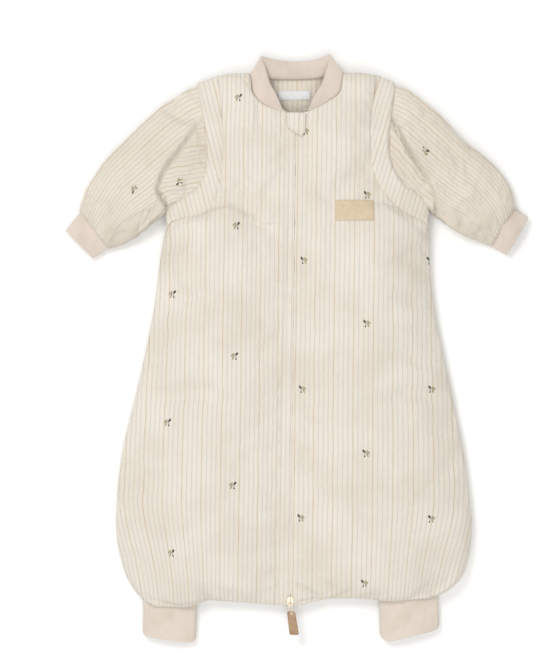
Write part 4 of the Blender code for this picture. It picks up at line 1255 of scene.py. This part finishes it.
def cloth_grid(left, right, low, high, pitch, edge=(0.0, 0.35)):
    xs = left + (right - left) * spaced(right - left, pitch, edge, edge)
    ys = low + (high - low) * spaced(high - low, pitch, edge, edge)
    return np.stack(np.meshgrid(xs, ys), axis=-1)


def laid_on(grid, height, lift):
    """Adds the height of a surface under each point of a plan grid."""
    z = np.array([[height(*p) or 0.0 for p in row] for row in grid])
    for _ in range(3):
        z[1:-1, 1:-1] = (z[1:-1, 1:-1] * 2 + z[:-2, 1:-1] + z[2:, 1:-1] + z[1:-1, :-2] + z[1:-1, 2:]) / 6
    return np.dstack((grid, z + lift))


# height above the cloth and thickness of a stitch at five places along it
STITCH_RISE = (-0.30, 0.05, 0.15, 0.05, -0.30)
STITCH_SLIM = (0.35, 0.9, 1.0, 0.9, 0.35)


def stitch_row(name, path, height, body=None, side=None, pitch=3.2, length=2.1, radius=0.22):
    """Row of separate stitches laid on a surface along a plan path."""
    place = lengths(path)
    count = int(place[-1] // pitch)
    verts, faces = [], []
    turn = around(6)
    for n in range(count):
        middle = (n + 0.5) * pitch
        ends = []
        for at in (-0.5, -0.25, 0.0, 0.25, 0.5):
            x = np.interp(middle + at * length, place, path[:, 0])
            y = np.interp(middle + at * length, place, path[:, 1])
            z = height(x, y)
            ends.append(None if z is None else (x, y, z))
        if None in ends:
            continue
        points = np.array(ends)
        points[:, 2] = np.median(points[:, 2])
        way = points[-1, :2] - points[0, :2]
        across = np.array((-way[1], way[0])) / max(np.linalg.norm(way), 1e-6)
        first = len(verts)
        for k, (x, y, z) in enumerate(points):
            slim = STITCH_SLIM[k] * radius
            lift = STITCH_RISE[k]
            for c, s_ in turn:
                verts.append((x + across[0] * c * slim, y + across[1] * c * slim, z + lift + s_ * slim))
        for k in range(4):
            for j in range(6):
                a, b = first + 6 * k + j, first + 6 * k + (j + 1) % 6
                faces.append((a, b, b + 6, a + 6))
        faces.append(tuple(first + j for j in range(5, -1, -1)))
        faces.append(tuple(first + 24 + j for j in range(6)))
    uv = np.array(verts)[:, :2]
    item = make_mesh(name, verts, faces, uv, (LOOKS["thread"],))
    outward(item)
    settle(item, body)
    if side is not None:
        fold_with_lapel(item)
    return item


def offset_path(curve, distance):
    """Plan curve moved to the left of its direction."""
    way = np.gradient(curve[:, :2], axis=0)
    way /= np.maximum(np.linalg.norm(way, axis=1, keepdims=True), 1e-9)
    return curve[:, :2] + distance * np.column_stack((-way[:, 1], way[:, 0]))


def tape_strip(side, word):
    """Woven zip tape sewn behind the lip, with a raised cord beside the teeth."""
    across = np.array((0.0, 0.35, 0.8, 1.4, 2.2, 3.2, 4.6, 6.2, 8.0, 9.6, 10.3, 10.8))
    y = np.linspace(-333.0, 310.0, 216)
    x = zip_x(y)[:, None] + side * (TAPE_GAP + across[None])
    z = (zip_z(y) - TAPE_DEPTH - TAPE_THICKNESS)[:, None] + 0.12 * np.sin(math.tau * y / 9.0)[:, None]
    grid = np.dstack((x, np.broadcast_to(y[:, None], x.shape), np.broadcast_to(z, x.shape)))
    top, bottom = grid.copy(), grid.copy()
    cord = 0.35 * np.exp(-((across - 1.6) / 0.6) ** 2)
    swell = np.minimum(np.minimum(across, across[::-1]) / 0.35, 1.0)
    top[..., 2] += TAPE_THICKNESS * (0.5 + 0.5 * swell) + cord
    bottom[..., 2] += TAPE_THICKNESS * (0.5 - 0.5 * swell)
    item, _, _ = pillow(f"zip_tape_cloth_{word}", top, bottom, grid[..., :2], (LOOKS["tape"], LOOKS["tape"]))
    outward(item)
    settle(item, f"lapel_{word}", (f"zip_tape_{word}", f"zip_tape_end_{word}"))


def rod(name, path, radius, look, ring=12, closed=False, squash=1.0, up=(0.0, 0.0, 1.0)):
    """Rounded bar that follows a path of 3-D points."""
    path = np.asarray(path, float)
    way = np.gradient(path, axis=0) if not closed else np.roll(path, -1, 0) - np.roll(path, 1, 0)
    way /= np.linalg.norm(way, axis=1, keepdims=True)
    across = np.cross(way, np.array(up))
    across[np.linalg.norm(across, axis=1) < 1e-3] = (1.0, 0.0, 0.0)
    across /= np.linalg.norm(across, axis=1, keepdims=True)
    other = np.cross(way, across)
    verts = np.stack([path + radius * (a * across + squash * b * other) for a, b in around(ring)], axis=1)
    index = np.arange(len(path) * ring).reshape(-1, ring)
    loop = np.concatenate((index, index[:1])) if closed else index
    faces = [tuple(f) for f in grid_faces(loop, False, True)]
    if not closed:
        faces += [tuple(index[0][::-1]), tuple(index[-1])]
    flat = verts.reshape(-1, 3)
    return outward(make_mesh(name, flat, faces, flat[:, :2], (look,)))


def teeth(side, word):
    """Interlocked coil teeth: a wire that loops round and round beside the zip line."""
    turns = np.arange(0.0, 610.0 / TOOTH_PITCH, 1.0 / 9.0)
    y = -322.0 + turns * TOOTH_PITCH + (0.5 * TOOTH_PITCH if side > 0 else 0.0)
    x = zip_x(y) + side * (1.5 + 1.75 * np.cos(math.tau * turns))
    z = zip_z(y) - TAPE_DEPTH - 2.15 + 0.85 * np.sin(math.tau * turns)
    coil = rod(f"zip_teeth_{word}", np.column_stack((x, y, z)), 0.28, LOOKS["plastic"], 8, up=(0.0, 1.0, 0.0))
    settle(coil, f"lapel_{word}", (f"zip_coil_{word}",))


def squared(value, power):
    """Pushes a sine or cosine outwards, so that a circle becomes a square with round corners."""
    return math.copysign(abs(value) ** power, value)


def rounded_block(name, outline_points, low, high, look, place, bevel):
    """Block with a rounded edge from a plan outline; place turns local points into the row frame."""
    verts = [place(x, y, low) for x, y in outline_points] + [place(x, y, high) for x, y in outline_points]
    size = len(outline_points)
    faces = [tuple(range(size))[::-1], tuple(range(size, 2 * size))]
    faces += [(k, (k + 1) % size, size + (k + 1) % size, size + k) for k in range(size)]
    uv = [(v[0], v[1]) for v in verts]
    item = make_mesh(name, verts, faces, uv, (look,))
    modifier = item.modifiers.new("bevel", "BEVEL")
    modifier.width = bevel * MM
    modifier.segments = 3
    modifier.limit_method = "ANGLE"
    modifier.angle_limit = math.radians(40)
    evaluated_copy(item)
    item.data.polygons.foreach_set("use_smooth", [True] * len(item.data.polygons))
    weighted = item.modifiers.new("weighted", "WEIGHTED_NORMAL")
    weighted.keep_sharp = True
    evaluated_copy(item)
    return outward(item)


def zip_frame(y):
    """Turns slider coordinates (across, up, along) into the row frame."""
    slope = (ZIP_CHIN - ZIP_HEM) / np.linalg.norm(ZIP_CHIN - ZIP_HEM)
    base = np.array((zip_x(y), y, zip_z(y)))

    def place(across, along, up):
        return tuple(base + np.array((across, 0.0, up)) + slope * along)

    return place


SLIDER_Y = -334.0


def slider():
    """Enamelled slider: two shield-shaped plates joined by a neck, with a bail over the top plate."""
    place = zip_frame(SLIDER_Y)
    shield = []
    for k in range(28):
        angle = math.tau * k / 28
        y = 6.6 * math.sin(angle)
        wide = 4.5 - 0.9 * smooth((-y - 1.0) / 5.6)
        x = squared(math.cos(angle), 0.55) * wide
        shield.append((x, y))
    top = rounded_block("slider_top_plate", shield, 0.45, 1.9, LOOKS["enamel"], place, 0.55)
    bottom = rounded_block("slider_bottom_plate", shield, -8.6, -7.3, LOOKS["enamel"], place, 0.5)
    neck = [(0.7, 5.6), (0.7, 1.6), (-0.7, 1.6), (-0.7, 5.6)]
    post = rounded_block("slider_post", neck, -7.8, 1.0, LOOKS["enamel"], place, 0.25)
    guides = []
    for side in (-1, 1):
        rail = [(side * 4.3, -5.6), (side * 4.3, 5.0), (side * 3.5, 5.0), (side * 3.5, -5.6)]
        guides.append(rounded_block(f"slider_guide_{'left' if side < 0 else 'right'}", rail, -7.6, -4.4,
                                    LOOKS["enamel"], place, 0.25))
    for item in (top, bottom, post, *guides):
        settle(item, "slider")
    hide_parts("zip_slider")
    arch = [place(0.0, along, 1.2 + 3.6 * math.sin(math.pi * t) ** 0.6)
            for t, along in ((k / 20, mix(-4.6, 4.4, k / 20)) for k in range(21))]
    bail = rod("slider_bail_arch", arch, 0.78, LOOKS["enamel"], squash=1.25)
    settle(bail, "slider", ("slider_bail",))


def pull():
    """Cord loop through the bail and the stitched leather-like tab on it."""
    place = zip_frame(SLIDER_Y)
    pivot = np.array(place(0.0, -2.2, 3.75))
    rise = (ZIP_CHIN[2] - ZIP_HEM[2]) / (ZIP_CHIN[1] - ZIP_HEM[1])

    def hang(across, along, up=0.0):
        return pivot + np.array((across - 0.14 * min(along + 3.0, 0.0), along, up + rise * along))

    loop = []
    for k in range(40):
        angle = math.tau * k / 40
        wide = 2.5 + 0.3 * math.cos(angle) ** 2
        loop.append(hang(wide * math.sin(angle), -5.2 + 6.1 * math.cos(angle), 0.1))
    cord = rod("pull_cord", loop, 0.62, LOOKS["tape"], closed=True, squash=0.8)
    settle(cord, "pull", ("pull_loop",))
    width, start, end, thickness = 11.8, -10.2, -41.6, 2.4
    outline_points = []
    for k in range(44):
        angle = math.tau * k / 44
        x = squared(math.cos(angle), 0.3) * width / 2
        y = squared(math.sin(angle), 0.22) * (start - end) / 2
        outline_points.append((x * (1.0 - 0.006 * y), y + (start + end) / 2))
    tab = rounded_block("pull_tab", outline_points, -thickness / 2, thickness / 2, LOOKS["leather"],
                        lambda x, y, z: tuple(hang(x, y, z)), 0.55)
    settle(tab, "pull", ("leather_pull",))
    edge = width / 2 - 1.4
    corners = ((edge, start - 1.6), (edge, end + 1.6), (-edge, end + 1.6), (-edge, start - 1.6))
    path = np.array([hang(x, y)[:2] for x, y in (*corners, corners[0])])

    def top(_, y):
        return pivot[2] + rise * (y - pivot[1]) + thickness / 2

    stitches = stitch_row("pull_stitches", path, top, "pull", pitch=2.6, length=1.6, radius=0.24)
    stitches.data.materials.clear()
    stitches.data.materials.append(LOOKS["stitch_dark"])
    hole = [hang(1.5 * x, start - 2.6 + 1.5 * y, thickness / 2) for x, y in around(20)]
    ring = rod("pull_eyelet", hole, 0.38, LOOKS["enamel"], closed=True)
    settle(ring, "pull")


def garage():
    """Small folded tab of striped cloth over the upper end of the zip."""
    xs = -12.6 + 25.0 * spaced(25.0, 1.2, (0.0, 0.4, 1.0), (0.0, 0.4, 1.0))
    t = spaced(26.0, 1.4, (0.0, 0.4, 1.0), (0.0, 0.4, 1.0))
    low = np.interp(xs, (-12.6, 6.4, 12.4), (292.0, 279.6, 286.0))
    ys = 311.5 + (low[None] - 311.5) * t[:, None]
    x = np.broadcast_to(xs[None] * (1.0 - 0.06 * t[:, None]), ys.shape)
    z = zip_z(300.0) + 1.0 + 0.5 * waves(np.dstack((x, ys)), 11.0, 6.1) + 0.8 * (1.0 - t[:, None])
    grid = np.dstack((x, ys, z))
    item = slab("zip_garage_tab", grid, 2.6, LOOKS["plain"])
    refine(item, 0.2, 5.0, 2.0)
    settle(item, "garage", ("zip_garage",))
    height = surface_of(item)
    edge = np.array([(-10.4, 309.0), (-10.0, 293.6), (5.8, 283.2), (9.4, 287.0), (10.2, 309.0)])
    stitch_row("garage_stitches", edge, height, "garage", pitch=2.6, length=1.7)


def labels(front_right, back):
    """Blank chest patch and blank neck label, each sewn at its ends."""
    height = surface_of(front_right)
    grid = laid_on(cloth_grid(51.2, 101.0, 169.0, 196.0, 2.2), height, 0.35)
    patch = slab("chest_patch_cloth", grid, 1.3, LOOKS["patch"])
    refine(patch, 0.12, 7.0, 2.5)
    settle(patch, "bag", ("chest_patch",))
    on_patch = surface_of(patch)
    for name, x in (("inner", 53.6), ("outer", 98.6)):
        path = np.array([(x, 170.6), (x + 0.2, 194.6)])
        stitch_row(f"patch_stitches_{name}", path, on_patch, "bag", pitch=2.4, length=1.7, radius=0.24)
    inside = surface_of(back)
    grid = laid_on(cloth_grid(-24.0, 18.5, 331.0, 343.5, 2.0), inside, 0.3)
    grid[..., 2] += 0.9 * np.sin(np.linspace(0.0, 9.0, grid.shape[1]))[None] * 0.4
    label = slab("neck_label_cloth", grid, 0.8, LOOKS["label"])
    refine(label)
    settle(label, "bag", ("neck_label",))
    on_label = surface_of(label)
    line = np.array([(-22.5, 342.2), (17.0, 342.2)])
    stitch_row("label_stitches", line, on_label, "bag", pitch=2.2, length=1.5, radius=0.2)


def stud(front_left):
    """Resin press-stud cap by the end of the shoulder seam."""
    height = surface_of(front_left)
    x, y = -65.5, 354.0
    z = (height(x, y) or 36.0) - 0.3
    profile = [(0.0, 1.7), (1.0, 1.65), (1.7, 1.35), (2.0, 1.1), (2.25, 1.35), (2.7, 1.2), (3.0, 0.75),
               (3.05, 0.2), (2.9, 0.0)]
    verts = [(x, y, z + 1.45)]
    ring = 28
    for radius, up in profile[1:]:
        verts += [(x + radius * right, y + radius * away, z + up) for right, away in around(ring)]
    faces = [(0, 1 + k, 1 + (k + 1) % ring) for k in range(ring)]
    for row in range(len(profile) - 2):
        a = 1 + row * ring
        faces += [(a + k, a + ring + k, a + ring + (k + 1) % ring, a + (k + 1) % ring) for k in range(ring)]
    last = 1 + (len(profile) - 2) * ring
    faces.append(tuple(last + k for k in range(ring - 1, -1, -1)))
    item = outward(make_mesh("stud_cap", verts, faces, [(v[0], v[1]) for v in verts], (LOOKS["stud"],)))
    settle(item, "bag", ("shoulder_stud",))


def seams(halves, bands):
    """Topstitching beside the neck, the lips and the armhole strips, and the seam rolls down the sides."""
    for side, word in SIDES:
        height = surface_of(halves[side])
        neck = offset_path(spline(NECK[side]), side * 3.0)
        stitch_row(f"neck_stitches_{word}", neck, height, side=side)
        y = np.linspace(-300.0, 276.0, 80)
        along_zip = np.column_stack((zip_x(y) + side * 14.0, y))
        stitch_row(f"zip_stitches_{word}", along_zip, height, side=side)
        side_seam = offset_path(spline(SIDE[side]), side * 1.9)
        side_seam = with_height(side_seam, (SEAM_Z - 0.2, SEAM_Z - 0.2))
        roll = rod(f"side_seam_{word}", side_seam, 1.7, LOOKS["plain"])
        settle(roll, "bag")
        band = surface_of(bands[side])
        rim = spline(ARMHOLE[side])[:, :2]
        inner = offset_path(rim, -side * 3.2)[30:-14]
        outer = offset_path(spline(BAND_EDGE[side]), side * 3.0)[16:-10]
        stitch_row(f"strip_inner_stitches_{word}", inner, band, "bag")
        stitch_row(f"strip_outer_stitches_{word}", outer, band, "bag")


# ---------------------------------------------------------------- assembly, light and camera

FLOOR_Z = -0.0002
WORLD = 0.61
# name, place in metres, width in metres and power in watts of each soft lamp
LAMPS = (("key", (-0.8, 1.0, 1.9), 0.9, 17.0), ("fill", (0.0, -0.9, 2.3), 2.0, 22.0))


def build():
    halves, bands = {}, {}
    back = back_panel()
    for side, word in SIDES:
        halves[side] = front_half(side, word)
        bands[side] = armhole_band(side, word)
        sleeve(side, word)
        tape_strip(side, word)
        teeth(side, word)
    cuffs()
    collar()
    labels(halves[1], back)
    stud(halves[-1])
    seams(halves, bands)
    garage()
    slider()
    pull()
    for node in ("zip_retainer_box", "zip_retainer_pin"):
        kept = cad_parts[node]
        kept.data = kept.data.copy()
        kept.data.materials.clear()
        kept.data.materials.append(LOOKS["plastic"])


def light():
    scene = bpy.context.scene
    world = bpy.data.worlds.new("studio")
    world.use_nodes = True
    world.node_tree.nodes["Background"].inputs["Color"].default_value = (1.0, 0.99, 0.975, 1.0)
    world.node_tree.nodes["Background"].inputs["Strength"].default_value = WORLD
    scene.world = world
    scene.view_settings.view_transform = "Standard"
    for name, place, size, power in LAMPS:
        data = bpy.data.lights.new(name, "AREA")
        data.shape = "DISK"
        data.size = size
        data.energy = power
        lamp = bpy.data.objects.new(name, data)
        lamp.location = place
        lamp.rotation_euler = (Vector((0.0, 0.0, 0.0)) - Vector(place)).to_track_quat("-Z", "Y").to_euler()
        scene.collection.objects.link(lamp)


def floor():
    mesh = bpy.data.meshes.new("floor")
    corners = ((-1, -1), (1, -1), (1, 1), (-1, 1))
    mesh.from_pydata([(6.0 * x, 6.0 * y, FLOOR_Z) for x, y in corners], [], [(0, 1, 2, 3)])
    s = Shader("studio_floor", 1.0)
    s.surface.inputs["Specular IOR Level"].default_value = 0.0
    mesh.materials.append(s.finish((0.96, 0.96, 0.955, 1.0)))
    item = bpy.data.objects.new("floor", mesh)
    bpy.context.scene.collection.objects.link(item)


def camera():
    data = bpy.data.cameras.new("camera")
    data.lens = 102.83
    data.sensor_width = 36.0
    data.clip_end = 20.0
    item = bpy.data.objects.new("camera", data)
    item.location = (-0.0257, 0.0231, 2.53)
    bpy.context.scene.collection.objects.link(item)
    bpy.context.scene.camera = item


build()
floor()
light()
camera()
